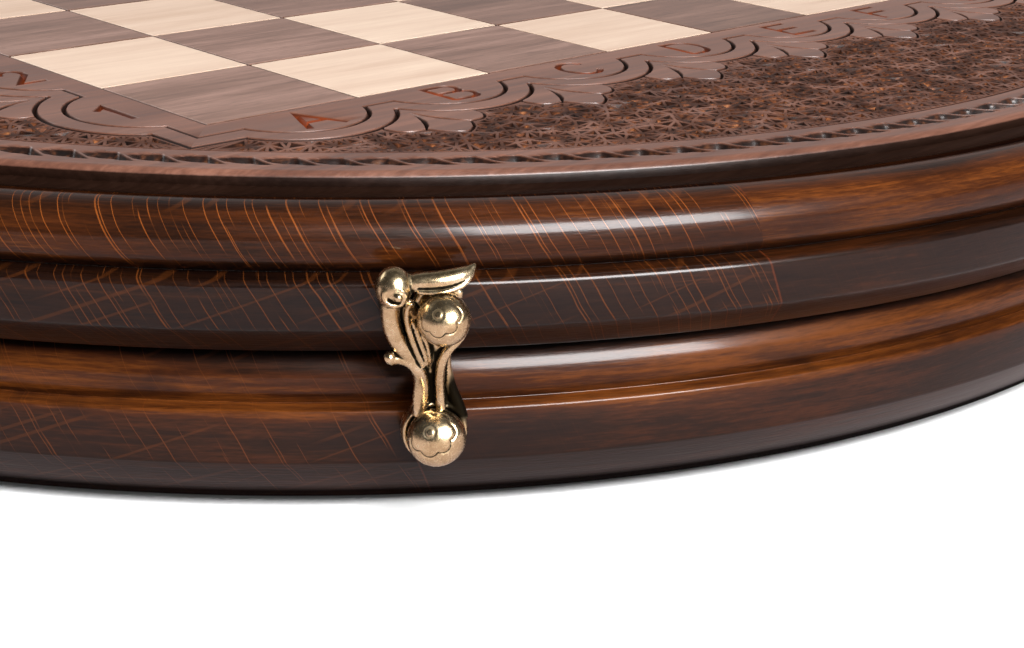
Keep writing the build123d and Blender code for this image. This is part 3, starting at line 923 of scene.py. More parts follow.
GLYPHS: dict[str, list[Outline]] = {
    "A": [[(0, 0), (0.5, 1), (1, 0)], [(0.19, 0.36), (0.81, 0.36)]],
    "B": [[(0.05, 0), (0.05, 1), (0.55, 1), *stroke_arc(0.6, 0.765, 0.28, 0.235, 90, -90),
           (0.05, 0.53)],
          [(0.6, 0.53), *stroke_arc(0.62, 0.265, 0.33, 0.265, 90, -90), (0.05, 0)]],
    "C": [stroke_arc(0.55, 0.5, 0.5, 0.5, 42, 318, 16)],
    "D": [[(0.05, 0), (0.05, 1), (0.45, 1), *stroke_arc(0.45, 0.5, 0.5, 0.5, 90, -90, 12),
           (0.05, 0)]],
    "E": [[(0.92, 1), (0.08, 1), (0.08, 0), (0.95, 0)], [(0.08, 0.53), (0.85, 0.53)]],
    "F": [[(0.95, 1), (0.1, 1), (0.1, 0)], [(0.1, 0.53), (0.82, 0.53)]],
    "G": [[*stroke_arc(0.55, 0.5, 0.5, 0.5, 42, 360, 16), (0.62, 0.5)]],
    "H": [[(0.06, 0), (0.06, 1)], [(0.94, 0), (0.94, 1)], [(0.06, 0.53), (0.94, 0.53)]],
    "1": [[(0.12, 0.78), (0.56, 1), (0.56, 0)]],
    "2": [[*stroke_arc(0.5, 0.73, 0.42, 0.27, 165, -25), (0.05, 0), (0.97, 0)]],
    "3": [[*stroke_arc(0.48, 0.75, 0.38, 0.25, 150, -90),
           *stroke_arc(0.48, 0.25, 0.44, 0.25, 90, -150)]],
    "4": [[(0.72, 0), (0.72, 1), (0.05, 0.3), (1, 0.3)]],
    "5": [[(0.88, 1), (0.2, 1), (0.13, 0.55), *stroke_arc(0.48, 0.31, 0.43, 0.31, 115, -145)]],
    "6": [[(0.84, 0.93), *stroke_arc(0.52, 0.6, 0.46, 0.4, 60, 180),
           *stroke_arc(0.5, 0.3, 0.42, 0.3, 180, -180, 14)]],
    "7": [[(0.06, 1), (0.95, 1), (0.6, 0.5), (0.42, 0)]],
    "8": [stroke_arc(0.5, 0.75, 0.34, 0.25, 90, 450, 14),
          stroke_arc(0.5, 0.25, 0.43, 0.25, 90, 450, 14)],
}


@dataclass
class Cut:
    """A V-cut along a line, in squares: points, and half its width at each point."""

    points: np.ndarray
    halves: np.ndarray

    def edges(self) -> list[np.ndarray]:
        """Centre line of the cut and the closed line round it."""
        p = self.points
        ahead = np.vstack([p[1:] - p[:-1], p[-1:] - p[-2:-1]])
        back = np.vstack([p[1:2] - p[:1], p[1:] - p[:-1]])
        ahead /= np.linalg.norm(ahead, axis=1, keepdims=True)
        back /= np.linalg.norm(back, axis=1, keepdims=True)
        mean = ahead + back
        mean /= np.maximum(np.linalg.norm(mean, axis=1, keepdims=True), 1e-6)
        mitre = 1 / np.clip((mean * ahead).sum(1), 0.45, 1)
        normal = np.stack([-mean[:, 1], mean[:, 0]], 1) * (mitre * self.halves)[:, None]
        head, tail = -back[0] * self.halves[0], ahead[-1] * self.halves[-1]
        left, right = p + normal, p - normal
        around = [left, [left[-1] + tail, right[-1] + tail], right[::-1],
                  [right[0] + head, left[0] + head], left[:1]]
        return [p, np.vstack(around)]


def cut(points: Outline, half: float | Sequence[float]) -> Cut:
    """A cut from points and a half width, one number or one for each point."""
    p = np.array(points, float)
    halves = np.broadcast_to(np.array(half, float), (len(p),))
    fresh = np.append(True, np.linalg.norm(np.diff(p, axis=0), axis=1) > 1e-4)
    return Cut(p[fresh], halves[fresh].copy())


def inside(points: np.ndarray, polygon: np.ndarray) -> np.ndarray:
    """Which points lie in a polygon."""
    x, y = points[:, 0], points[:, 1]
    hit = np.zeros(len(points), bool)
    for (ax, ay), (bx, by) in zip(polygon, np.roll(polygon, -1, 0)):
        crosses = (ay > y) != (by > y)
        with np.errstate(divide="ignore", invalid="ignore"):
            hit ^= crosses & (x < (bx - ax) * (y - ay) / (by - ay) + ax)
    return hit


def covered(points: np.ndarray, areas: list[np.ndarray]) -> np.ndarray:
    """Which points lie in one of the areas."""
    hit = np.zeros(len(points), bool)
    for area in areas:
        hit |= inside(points, area)
    return hit


def on_side(points: np.ndarray, margin: float) -> np.ndarray:
    """Which points lie between the two mitres of a side, at least a margin away from them."""
    x, y = points[:, 0], points[:, 1]
    return (x > y + margin) & (8 - x > y + margin)


# right half of a spray: lines across it, in squares from the cusp, and their half widths
SPRAY: tuple[tuple[Outline, float | tuple[float, ...]], ...] = (
    ([(0.01, -0.45), (0.022, -0.53), (0.052, -0.61), (0.098, -0.685), (0.155, -0.75)],
     (0.004, 0.012, 0.0175, 0.015, 0.008)),
    ([(0.322, -0.6), (0.325, -0.645), (0.308, -0.692), (0.272, -0.732), (0.23, -0.75),
      (0.155, -0.755)], 0.0105),
    ([(0.15, -0.752), (0.134, -0.79), (0.1, -0.838), (0.05, -0.88), (0.0, -0.91)], 0.0105),
)


@dataclass
class CarvedField:
    """The flat border with its lobes, petal sprays and lettering, and the chip-cut ground.

    It is laid out in squares for the side towards the player: x along the board edge from
    corner to corner, y outwards and negative. The other sides are turned copies.
    """

    finishes: Finishes
    rim: float = 6.125              # where the rope border begins, in squares
    groove: float = 0.016           # half width of the lines
    stroke: float = 0.022           # half width of the lettering
    steepness: float = 1.7          # depth of a cut for its half width
    inner_corner: float = 0.185
    outer_corner: float = 0.315
    grid: float = 0.09              # between the crossings of the ground's ridges
    ridge: float = 0.0078           # half width of a ridge
    ground_drop: float = 0.18       # the ridges lie this far below the top, mm
    seed: int = 7

    def lobe(self, k: int, centre: float, radius: float, end: float, steps: int) -> Outline:
        """Outer part of a circle on the middle of a square, from one end line to the other.

        Args:
            k: number of the square along the side.
            centre: distance of the circle's middle from the board, in squares.
            radius: in squares.
            end: distance of both ends from the board, in squares.
            steps: number of chords.
        """
        rise = math.degrees(math.asin((end - centre) / radius))
        return stroke_arc(k + 0.5, -centre, radius, radius, 180 + rise, 360 - rise, steps)

    def inner_line(self) -> Outline:
        """Line that follows the inside of the lobes, from corner to corner."""
        line: Outline = [(-self.inner_corner - 0.05, -0.182)]
        for k in range(8):
            line += self.lobe(k, 0.042, 0.423, 0.182, 20)
        return line + [(8 + self.inner_corner + 0.05, -0.182)]

    def outer_arc(self, k: int) -> Outline:
        """One arc of the outer line, between two cusps."""
        return self.lobe(k, 0.04, 0.573, 0.325, 26)

    def outer_polygon(self) -> np.ndarray:
        """Area inside the outer line."""
        c = self.outer_corner
        points: Outline = [(0.0, 0.3), (0.0, 0.0), (-c, -c), (0.0, -0.32)]
        for k in range(8):
            points += self.outer_arc(k)
        return np.array(points + [(8.0, -0.32), (8 + c, -c), (8.0, 0.0), (8.0, 0.3)])

    def petal_polygon(self, k: int) -> np.ndarray:
        """Area of the spray below a cusp."""
        half = [(0.325, -0.588), (0.326, -0.64), (0.31, -0.69), (0.275, -0.73), (0.235, -0.747),
                (0.15, -0.752), (0.134, -0.785), (0.1, -0.835), (0.05, -0.877)]
        left = [(-x, y) for x, y in half]
        points = [(0.0, -0.33), *half, (0.0, -0.905), *reversed(left)]
        return np.array([(k + x, y) for x, y in points])

    def cuts(self, letters: list[Cut]) -> list[Cut]:
        """Every cut of one side."""
        c = self.outer_corner
        found = [cut([(-0.6, 0.0), (8.6, 0.0)], 0.0105), cut(self.inner_line(), self.groove),
                 cut([(-c - 0.05, -c), (0.02, -0.325)], self.groove),
                 cut([(7.98, -0.325), (8 + c + 0.05, -c)], self.groove)]
        found += [cut(self.outer_arc(k), self.groove) for k in range(8)]
        for k in range(1, 8):
            for side in (-1, 1):
                found += [cut([(k + side * x, y) for x, y in line], half) for line, half in SPRAY]
        return found + letters

    def lettering(self, side: int) -> list[Cut]:
        """Strokes of one side's letters or numerals, in that side's own directions."""
        if side == 0:
            return [cut([(k + 0.5 + (x - 0.5) * 0.23, -0.3625 + y * 0.275) for x, y in line],
                        self.stroke)
                    for k, glyph in enumerate("ABCDEFGH") for line in GLYPHS[glyph]]
        if side == 1:
            # on the board: x across, y up; on this side: along is down, out is left
            return [cut([(7.5 - k - (y - 0.5) * 0.3, -0.225 + (x - 0.5) * 0.16) for x, y in line],
                        self.stroke)
                    for k, glyph in enumerate("12345678") for line in GLYPHS[glyph]]
        return []

    def depth(self, points: np.ndarray, cuts: list[Cut]) -> np.ndarray:
        """Depth of the cuts at each point, in squares."""
        a = np.vstack([c.points[:-1] for c in cuts])
        b = np.vstack([c.points[1:] for c in cuts])
        ha = np.concatenate([c.halves[:-1] for c in cuts])
        hb = np.concatenate([c.halves[1:] for c in cuts])
        deep = np.zeros(len(points))
        run = b - a
        size = (run ** 2).sum(1)
        for first in range(0, len(points), 2000):
            p = points[first:first + 2000]
            to = p[:, None, :] - a[None]
            t = np.clip((to * run[None]).sum(2) / size[None], 0, 1)
            gap = np.linalg.norm(to - t[..., None] * run[None], axis=2)
            half = ha[None] + (hb - ha)[None] * t
            deep[first:first + 2000] = np.maximum(half - gap, 0).max(1)
        return deep

    def clear_of(self, points: np.ndarray, cuts: list[Cut], margin: float) -> np.ndarray:
        """Which points lie farther than a margin from every cut, in squares."""
        return self.depth(points, [Cut(c.points, c.halves + margin) for c in cuts]) <= 0

    def ground_points(self, lines: list[Cut], areas: list[np.ndarray],
                      rng: np.random.Generator) -> np.ndarray:
        """Crossings of the ground's ridges on a shaken triangular grid."""
        step = self.grid
        rows = [(x + (j % 2) * step / 2, -0.3 - j * step * 0.866)
                for j in range(26) for x in np.arange(-2.2, 10.2, step)]
        p = np.array(rows) + rng.normal(0, step * 0.2, (len(rows), 2))
        keep = on_side(p, 0.03) & (np.hypot(p[:, 0] - 4, p[:, 1] - 4) < self.rim - 0.05)
        p = p[keep & ~covered(p, areas)]
        return p[self.clear_of(p, lines, 0.05)]

    def side_mesh(self, side: int) -> tuple[np.ndarray, list[tuple[int, ...]], np.ndarray]:
        """Points in squares with heights in mm, faces, and the mark of each point."""
        rng = np.random.default_rng(self.seed + side)
        letters = self.lettering(side)
        cuts = self.cuts(letters)
        areas = [self.outer_polygon()] + [self.petal_polygon(k) for k in range(1, 8)]
        corner = math.degrees(math.atan2(-1, 1))
        arc_points = [(4 + self.rim * math.cos(math.radians(corner - i * 0.5)),
                       4 + self.rim * math.sin(math.radians(corner - i * 0.5))) for i in range(181)]
        border = [(0.0, 0.0), (8.0, 0.0), *arc_points]
        points: list[Point] = list(border)
        edges = [(i, (i + 1) % len(border)) for i in range(len(border))]
        for c in cuts:
            for line in c.edges():
                first = len(points)
                points += [tuple(q) for q in line]
                edges += [(first + i, first + i + 1) for i in range(len(line) - 1)]
        points += [tuple(q) for q in self.ground_points(cuts, areas, rng)]
        made = delaunay_2d_cdt([Vector(q) for q in points], edges, [], 0, 1e-5)
        plane = np.array([tuple(v) for v in made[0]])
        tris = np.array([(f[0], f[i], f[i + 1]) for f in made[2] for i in range(1, len(f) - 1)])
        centre = plane[tris].mean(1)
        keep = (centre[:, 1] < 0) & on_side(centre, 0.0) & inside(centre, np.array(border))
        tris, centre = tris[keep], centre[keep]
        flat = covered(plane, areas)
        height = TOP - self.steepness * SQUARE * self.depth(plane, cuts)
        height -= np.where(flat | (plane[:, 1] > -0.01), 0, self.ground_drop)
        on_letter = self.depth(plane, letters) > 0 if letters else np.zeros(len(plane), bool)
        ground = (self.depth(centre, cuts) <= 0) & ~covered(centre, areas)
        # the crossings of the ridges lie at uneven heights
        loose = ~flat & self.clear_of(plane, cuts, 0.03) & on_side(plane, 0.02)
        loose &= (plane[:, 1] < -0.2) & (np.hypot(*(plane - 4).T) < self.rim - 0.03)
        height = height - loose * rng.uniform(-0.06, 0.2, len(plane))
        verts = [(*q, h) for q, h in zip(plane, height)]
        faces: list[tuple[int, ...]] = [tuple(t) for t in tris[~ground]]
        for t in tris[ground]:
            faces += self.chip(t, verts, rng)
        marks = np.full(len(verts), -1.0)
        marks[:len(plane)] = on_letter
        return np.array(verts), faces, marks

    def chip(self, tri: np.ndarray, verts: list[tuple[float, float, float]],
             rng: np.random.Generator) -> list[tuple[int, ...]]:
        """One triangular chip: a flat margin and a pit that slopes to a point."""
        p = np.array([verts[i] for i in tri])
        sides = np.linalg.norm(p[[1, 2, 0], :2] - p[[2, 0, 1], :2], axis=1)
        total = sides.sum()
        u, v = p[1, :2] - p[0, :2], p[2, :2] - p[0, :2]
        radius = abs(u[0] * v[1] - u[1] * v[0]) / total
        if radius < self.ridge * 1.8:
            return [tuple(tri)]
        heart = (p * sides[:, None]).sum(0) / total
        share = (radius - self.ridge) / radius
        rim = heart + (p - heart) * share
        low = heart + (rim[rng.integers(3)] - heart) * rng.uniform(0.0, 0.3)
        low[2] = heart[2] - (radius - self.ridge) * SQUARE * rng.uniform(1.0, 1.9)
        first = len(verts)
        verts.extend(tuple(q) for q in rim)
        verts.append(tuple(low))
        made: list[tuple[int, ...]] = []
        for i in range(3):
            j = (i + 1) % 3
            made.append((tri[i], tri[j], first + j, first + i))
            made.append((first + i, first + j, first + 3))
        return made

    def build(self) -> bpy.types.Object:
        """Make the four sides, close them below and weld them into one piece."""
        points, faces, marks = [], [], []
        for side in range(4):
            verts, side_faces, mark = self.side_mesh(side)
            first = sum(len(p) for p in points)
            boundary = self.boundary(side_faces)
            world = np.column_stack([(verts[:, :2] - 4) * SQUARE, verts[:, 2]])
            under = world[boundary].copy()
            under[:, 2] = PANEL_TOP
            count = len(boundary)
            bottom = [len(world) + i for i in range(count)]
            for i in range(count):
                j = (i + 1) % count
                a, b = verts[boundary[i]], verts[boundary[j]]
                on_left = abs(a[0] - a[1]) < 1e-4 and abs(b[0] - b[1]) < 1e-4
                on_right = abs(8 - a[0] - a[1]) < 1e-4 and abs(8 - b[0] - b[1]) < 1e-4
                if not (on_left or on_right):
                    side_faces.append((boundary[i], boundary[j], bottom[j], bottom[i]))
            side_faces.append(tuple(bottom))
            world = np.vstack([world, under])
            mark = np.concatenate([mark, np.zeros(count)])
            turn = Matrix.Rotation(math.radians(-90 * side), 4, "Z")
            points.append(placed(world, turn))
            faces += [tuple(i + first for i in f) for f in side_faces]
            marks.append(mark)
        return mesh_object("carved_border", np.vstack(points), faces, self.finishes.carved,
                           0.004, 48, mark=np.concatenate(marks))

    def boundary(self, faces: list[tuple[int, ...]]) -> list[int]:
        """Numbers of the points round the open edge, in order."""
        after: dict[int, int] = {}
        pairs = {(f[i], f[(i + 1) % len(f)]) for f in faces for i in range(len(f))}
        for a, b in pairs:
            if (b, a) not in pairs:
                after[a] = b
        start = next(iter(after))
        loop = [start]
        while after[loop[-1]] != start:
            loop.append(after[loop[-1]])
        return loop


@dataclass
class RopeBorder:
    """Groove, rail, comma-shaped chips and eased rim round the carved top."""

    finishes: Finishes
    group: NodeGroup
    count: int = 180
    start: float = 6.125            # in squares from the middle
    depth: float = 2.3              # of a chip, mm
    chips_end: float = 276.5        # radius inside which a sunk point is a chip, mm

    def lean(self, v: float) -> float:
        """How far the ridge between two chips lies along the rim, in pitches."""
        return 0.55 * max(v, 0.0) ** 1.2

    def drop(self, u: float, v: float) -> float:
        """Depth of a chip at its place along and across the rim, in mm.

        A chip starts as a narrow tail and ends deep and wide against a steep wall.
        """
        tail = 0.26 * (1 - u) ** 1.5
        across = min(1.0, max(0.0, v - 0.02 - tail * 0.6) / 0.16, max(0.0, 0.98 - tail - v) / 0.14)
        along = min(1.0, max(0.0, u - 0.04) / 0.4, (1.0 - u) / 0.12)
        return self.depth * across * along * (0.45 + 0.55 * u)

    def rows(self) -> list[tuple[float, float, float | None]]:
        """Radius in squares, height in mm, and place across the chips or None."""
        found: list[tuple[float, float, float | None]] = [
            (self.start, TOP - 0.18, None), (6.139, TOP - 0.95, None), (6.156, TOP, None),
            (6.2, TOP, None), (6.236, TOP, 0.0)]
        for v in (0.1, 0.2, 0.3, 0.4, 0.5, 0.6, 0.7, 0.8, 0.9):
            found.append((6.236 + 0.148 * v, TOP, v))
        found += [(6.384, TOP, 1.0), (6.42, TOP, None), (6.45, TOP, None)]
        rim = arc((6.45 * SQUARE, TOP), (279.1, 74.55), (279.7, 73.8), 6)
        rim += [(279.75, 72.0), *arc((279.75, 72.0), (280.6, 71.5), (284.0, 71.3), 5)]
        found += [(r / SQUARE, z, None) for r, z in rim]
        return found + [(284.0 / SQUARE, PANEL_TOP, None), (self.start, PANEL_TOP, None)]

    def build(self) -> bpy.types.Object:
        """Make one pitch of the border and repeat it round the rim."""
        pitch = 2 * math.pi / self.count
        columns = (0.0, 0.06, 0.16, 0.28, 0.4, 0.52, 0.64, 0.75, 0.85, 0.91, 0.96, 1.0)
        rows = self.rows()
        points, faces = [], []
        leaning = 0.0
        for radius, z, v in rows:
            if v is not None:
                leaning = self.lean(v)
            elif radius > 6.4:
                leaning *= 0.55
            shift = leaning if z > 72 and radius > 6.2 else 0.0
            for u in columns:
                angle = (u + shift) * pitch
                points.append((radius * SQUARE * math.cos(angle), radius * SQUARE * math.sin(angle),
                               z - (self.drop(u, v) if v is not None else 0.0)))
        wide = len(columns)
        for i in range(len(rows)):
            k = (i + 1) % len(rows)
            for j in range(wide - 1):
                faces.append((i * wide + j, i * wide + j + 1, k * wide + j + 1, k * wide + j))
        template = mesh_object("rope_pitch", np.array(points), faces, None)
        ring = self.group.run("rope_border", {
            "Count": self.count, "Start": 0.0, "Template": template,
            "Material": self.finishes.carved})
        bpy.data.objects.remove(template)
        clean(ring.data, 0.01, 34)
        store(ring.data, "mark", [
            -1.0 if v.co.z < (TOP - 0.25) * MM and v.co.xy.length < self.chips_end * MM else 0.0
            for v in ring.data.vertices])
        return ring


@dataclass
class BoardTop:
    """The carved frame and the squares inside it."""

    finishes: Finishes
    rings: NodeGroup
    tiles: NodeGroup
    chamfer: float = 0.52

    def tile(self) -> bpy.types.Object:
        """One square with its eased edges, in the middle of the board."""
        h, c = SQUARE / 2, self.chamfer
        levels = [(h, PANEL_TOP), (h, TOP - c * 1.25), (h - c, TOP - 0.03), (h - c - 0.12, TOP)]
        points = [(sx * half, sy * half, z) for half, z in levels
                  for sx, sy in ((-1, -1), (1, -1), (1, 1), (-1, 1))]
        faces = [(3, 2, 1, 0), (12, 13, 14, 15), *wall(4, 4)]
        return mesh_object("tile", np.array(points), faces, None)

    def build(self) -> None:
        """Make the carved frame, the rope border and the squares."""
        field_piece = CarvedField(self.finishes).build()
        settle(field_piece, "case", "stained_wood", "carved_frame")
        rope = RopeBorder(self.finishes, self.rings).build()
        settle(rope, "case", "stained_wood")
        tile = self.tile()
        kinds = (("dark", "dark_veneer", self.finishes.dark),
                 ("light", "pale_veneer", self.finishes.pale))
        for odd, (name, slot, material) in enumerate(kinds):
            piece = self.tiles.run(f"{name}_tiles", {
                "Count": 8, "Width": 7 * SQUARE * MM, "Odd": odd, "Seed": 3 + odd, "Tile": tile,
                "Material": material})
            settle(piece, "case", slot, f"{name}_squares")
        bpy.data.objects.remove(tile)


# ------------------------------------------------------------------ cast latches

def smooth_path(points: np.ndarray, steps: int) -> np.ndarray:
    """Points along a smooth curve through the given rows of numbers."""
    p = np.vstack([2 * points[0] - points[1], points, 2 * points[-1] - points[-2]])
    out = []
    for i in range(1, len(p) - 2):
        for t in np.arange(steps) / steps:
            out.append(0.5 * (2 * p[i] + (p[i + 1] - p[i - 1]) * t
                              + (2 * p[i - 1] - 5 * p[i] + 4 * p[i + 1] - p[i + 2]) * t ** 2
                              + (3 * p[i] - p[i - 1] - 3 * p[i + 1] + p[i + 2]) * t ** 3))
    return np.array(out + [p[-2]])


def limb(stations: Sequence[tuple[float, ...]], steps: int = 6,
         sides: int = 18) -> tuple[np.ndarray, list]:
    """A closed tapering limb through stations of (right, up, out, half width, half depth).

    Args:
        stations: centre and half sizes along the limb; depth is measured outwards.
        steps: rings between two stations.
        sides: corners of a ring.

    Returns:
        Points in millimetres and faces.
    """
    s = smooth_path(np.array(stations, float), steps)
    s[:, 3:] = np.maximum(s[:, 3:], 0.12)
    centre = s[:, :3]
    run = np.gradient(centre, axis=0)
    run /= np.linalg.norm(run, axis=1, keepdims=True)
    outwards = np.array([0.0, 0.0, 1.0])
    wide = np.cross(outwards, run)
    wide /= np.maximum(np.linalg.norm(wide, axis=1, keepdims=True), 1e-6)
    deep = np.cross(run, wide)
    turn = np.arange(sides) * 2 * math.pi / sides
    rings = (centre[:, None] + wide[:, None] * (s[:, 3, None] * np.cos(turn))[..., None]
             + deep[:, None] * (s[:, 4, None] * np.sin(turn))[..., None])
    tips = [centre[0] - run[0] * s[0, 3] * 0.8, centre[-1] + run[-1] * s[-1, 3] * 0.8]
    points = np.vstack([rings.reshape(-1, 3), tips])
    n, faces = len(s), wall(len(s), sides)
    for j in range(sides):
        k = (j + 1) % sides
        faces.append((n * sides, j, k))
        faces.append((n * sides + 1, (n - 1) * sides + k, (n - 1) * sides + j))
    return points, faces


def lathe(outline: Outline, sides: int = 48) -> tuple[np.ndarray, list]:
    """A closed outline of (radius, height) turned about Z."""
    p = np.array(outline)
    turn = np.arange(sides) * 2 * math.pi / sides
    points = np.stack([p[None, :, 0] * np.cos(turn)[:, None], p[None, :, 0] * np.sin(turn)[:, None],
                       np.broadcast_to(p[None, :, 1], (sides, len(p)))], 2).reshape(-1, 3)
    return points, swept(sides, len(p))


def ellipsoid(centre: Sequence[float], sizes: Sequence[float]) -> tuple[np.ndarray, list]:
    """A closed ellipsoid."""
    around, up = 28, 16
    points = [(0.0, 0.0, -1.0)]
    for i in range(1, up):
        a = math.pi * (i / up - 0.5)
        points += [(math.cos(a) * math.cos(2 * math.pi * j / around),
                    math.cos(a) * math.sin(2 * math.pi * j / around), math.sin(a))
                   for j in range(around)]
    points.append((0.0, 0.0, 1.0))
    faces = [(0, 1 + (j + 1) % around, 1 + j) for j in range(around)]
    faces += wall(up - 1, around, 1)
    last, top = 1 + (up - 2) * around, 1 + (up - 1) * around
    faces += [(last + j, last + (j + 1) % around, top) for j in range(around)]
    return np.array(points) * np.array(sizes) + np.array(centre), faces


@dataclass
class CastLatch:
    """Cast swing hook: cup, fluted stem, strands, scroll bud, leaf and two thorns.

    It is modelled about its pivot, X right, Y up and Z outwards from the lower fascia, in
    millimetres, and copied to its places on the rim.
    """

    finishes: Finishes
    swing: float = 28.6         # pivot to catch ball
    ball_out: float = 17.53     # middle of the catch ball, out from the lower fascia
    clear: float = 5.75         # clear radius round the ball's path
    neck_clear: float = 2.65    # clear radius round the path of the ball's neck
    voxel: float = 0.26         # grain in which the limbs are fused

    def limbs(self) -> list[tuple[np.ndarray, list]]:
        """Every closed form that the casting is made of."""
        return [
            lathe([(2.3, 2.2), (4.6, 2.2), (6.2, 2.5), (6.8, 3.4), (6.95, 5.0), (6.85, 6.4),
                   (6.5, 7.2), (6.05, 7.2), (5.8, 6.6), (5.2, 5.3), (4.2, 4.3), (2.3, 4.1)]),
            # core of the stem, behind the ribs
            limb([(0, 4.6, 4.8, 5.2, 1.8), (-0.4, 8.2, 5.2, 4.0, 1.9), (-0.9, 12.0, 6.2, 2.9, 1.7),
                  (-1.2, 16.0, 8.0, 2.6, 1.4), (-1.2, 20.0, 9.4, 3.0, 1.2),
                  (-0.8, 23.6, 10.8, 2.8, 1.0)]),
            # left rib, on into the left thorn with its bead
            limb([(-3.4, 4.2, 7.4, 1.3, 1.2), (-3.2, 8.0, 7.8, 1.7, 1.4),
                  (-3.3, 12.0, 9.0, 1.6, 1.4), (-4.1, 15.2, 10.6, 1.4, 1.5),
                  (-6.0, 17.7, 11.8, 1.25, 1.3), (-8.3, 18.7, 12.3, 1.2, 1.2),
                  (-10.0, 18.7, 12.5, 1.3, 1.3)]),
            ellipsoid((-10.1, 19.2, 12.8), (1.2, 1.35, 1.3)),
            # right rib, on into the right thorn
            limb([(1.1, 4.6, 8.0, 1.0, 1.1), (0.7, 9.0, 8.0, 1.0, 1.2), (0.4, 13.5, 9.4, 1.0, 1.2),
                  (0.7, 17.3, 10.8, 1.0, 1.1), (1.9, 20.0, 11.5, 1.0, 0.9),
                  (4.0, 22.2, 11.7, 0.8, 0.7), (5.7, 24.0, 11.7, 0.2, 0.3)]),
            # right flank, sweeping down into the cup
            limb([(6.0, 2.6, 5.4, 1.1, 1.7), (4.6, 5.8, 5.6, 1.4, 1.7), (3.1, 10.0, 6.3, 1.2, 1.5),
                  (2.2, 14.5, 7.9, 0.9, 1.2), (1.9, 18.6, 9.6, 0.7, 0.9)]),
            # sheet behind the strands
            limb([(-2.2, 16.6, 9.6, 2.2, 0.8), (-4.4, 20.6, 11.0, 3.0, 0.9),
                  (-6.2, 25.0, 12.2, 3.2, 0.9), (-8.0, 30.6, 13.2, 2.6, 1.0)]),
            # thick outer bundle up to the bud
            limb([(-4.2, 16.8, 11.0, 1.2, 1.2), (-6.4, 19.6, 12.2, 1.6, 1.5),
                  (-8.5, 22.8, 13.2, 1.8, 1.8), (-9.9, 26.6, 14.2, 1.9, 2.0),
                  (-10.3, 31.0, 14.8, 1.9, 2.1)]),
            # three strands beside it
            limb([(-3.2, 16.6, 11.4, 0.5, 0.7), (-4.6, 19.9, 13.0, 0.55, 0.9),
                  (-6.1, 24.0, 14.4, 0.58, 1.0), (-7.1, 28.2, 15.8, 0.6, 0.9),
                  (-7.0, 31.0, 16.6, 0.5, 0.7), (-6.2, 31.9, 16.8, 0.4, 0.5)]),
            limb([(-2.4, 16.8, 11.0, 0.45, 0.7), (-3.4, 20.2, 12.6, 0.52, 0.9),
                  (-4.7, 23.8, 13.8, 0.52, 0.9), (-5.9, 27.6, 15.0, 0.5, 0.8)]),
            limb([(-1.7, 17.2, 10.6, 0.4, 0.6), (-2.4, 20.4, 12.0, 0.48, 0.8),
                  (-3.4, 23.2, 13.0, 0.48, 0.8), (-4.7, 26.6, 13.8, 0.4, 0.6)]),
            # bud with its spiral and bead
            ellipsoid((-9.6, 34.5, 14.8), (3.7, 4.3, 3.6)),
            ellipsoid((-9.1, 33.7, 18.3), (0.9, 0.9, 0.9)),
            limb([(-9.4 + r * math.cos(a), 33.9 + r * math.sin(a), 18.5 - 0.14 * r * r, w, w)
                  for a, r, w in ((math.radians(60 - 33 * i), 1.55 + 0.12 * i, 0.34 + 0.02 * i)
                                  for i in range(9))], 4, 12),
            # leaf over the ball, with its rolled lower edge
            limb([(-7.6, 35.2, 14.9, 1.7, 1.6), (-4.6, 35.7, 15.2, 1.9, 1.9),
                  (-1.0, 35.9, 15.5, 2.1, 2.0), (2.4, 36.3, 15.2, 2.1, 1.9),
                  (4.8, 37.1, 14.5, 1.6, 1.4), (6.5, 38.7, 13.7, 0.3, 0.4)]),
            limb([(-5.0, 34.2, 16.7, 0.5, 0.5), (-1.0, 34.2, 17.5, 0.6, 0.6),
                  (2.6, 34.9, 17.0, 0.6, 0.6), (4.9, 36.1, 15.9, 0.5, 0.5),
                  (6.5, 38.4, 14.0, 0.25, 0.3)]),
            limb([(-3.0, 34.8, 12.8, 1.3, 0.9), (1.2, 35.6, 12.8, 1.4, 1.0),
                  (4.6, 35.9, 12.6, 0.9, 0.8), (6.3, 36.6, 12.2, 0.3, 0.4)]),
            # jaw behind the ball, open to the right
            limb([(4.5 * math.cos(math.radians(a)), self.swing + 4.5 * math.sin(math.radians(a)),
                   11.65, 1.5, 0.8) for a in range(38, 323, 20)], 3, 14),
        ]

    def casting(self) -> bpy.types.Object:
        """Fuse the limbs and soften them, as casting does."""
        points, faces = [], []
        for p, f in self.limbs():
            first = sum(len(q) for q in points)
            points.append(p)
            faces += [tuple(i + first for i in face) for face in f]
        raw = mesh_object("casting_limbs", np.vstack(points), faces, None)
        fuse = raw.modifiers.new("fuse", "REMESH")
        fuse.mode = "VOXEL"
        fuse.voxel_size = self.voxel * MM
        soften = raw.modifiers.new("soften", "SMOOTH")
        soften.factor, soften.iterations = 0.5, 3
        return baked(raw, "casting")

    def cleared(self, p: np.ndarray) -> np.ndarray:
        """Points moved out of the way of the catch stud on the whole swing."""
        angle = np.arctan2(p[:, 0], p[:, 1])
        angle = np.where(angle > 0, angle, 0)
        path = np.stack([self.swing * np.sin(angle), self.swing * np.cos(angle)], 1)
        gap = p - np.column_stack([path, np.full(len(p), self.ball_out)])
        size = np.linalg.norm(gap, axis=1, keepdims=True)
        near = (size[:, 0] < self.clear) & (p[:, 2] > 12.2)
        out = p.copy()
        out[near] = (p - gap + gap / np.maximum(size, 1e-6) * self.clear)[near]
        flat = out[:, :2] - path
        size = np.linalg.norm(flat, axis=1, keepdims=True)
        near = (size[:, 0] < self.neck_clear) & (out[:, 2] > 8.5)
        out[near, :2] = (path + flat / np.maximum(size, 1e-6) * self.neck_clear)[near]
        return out

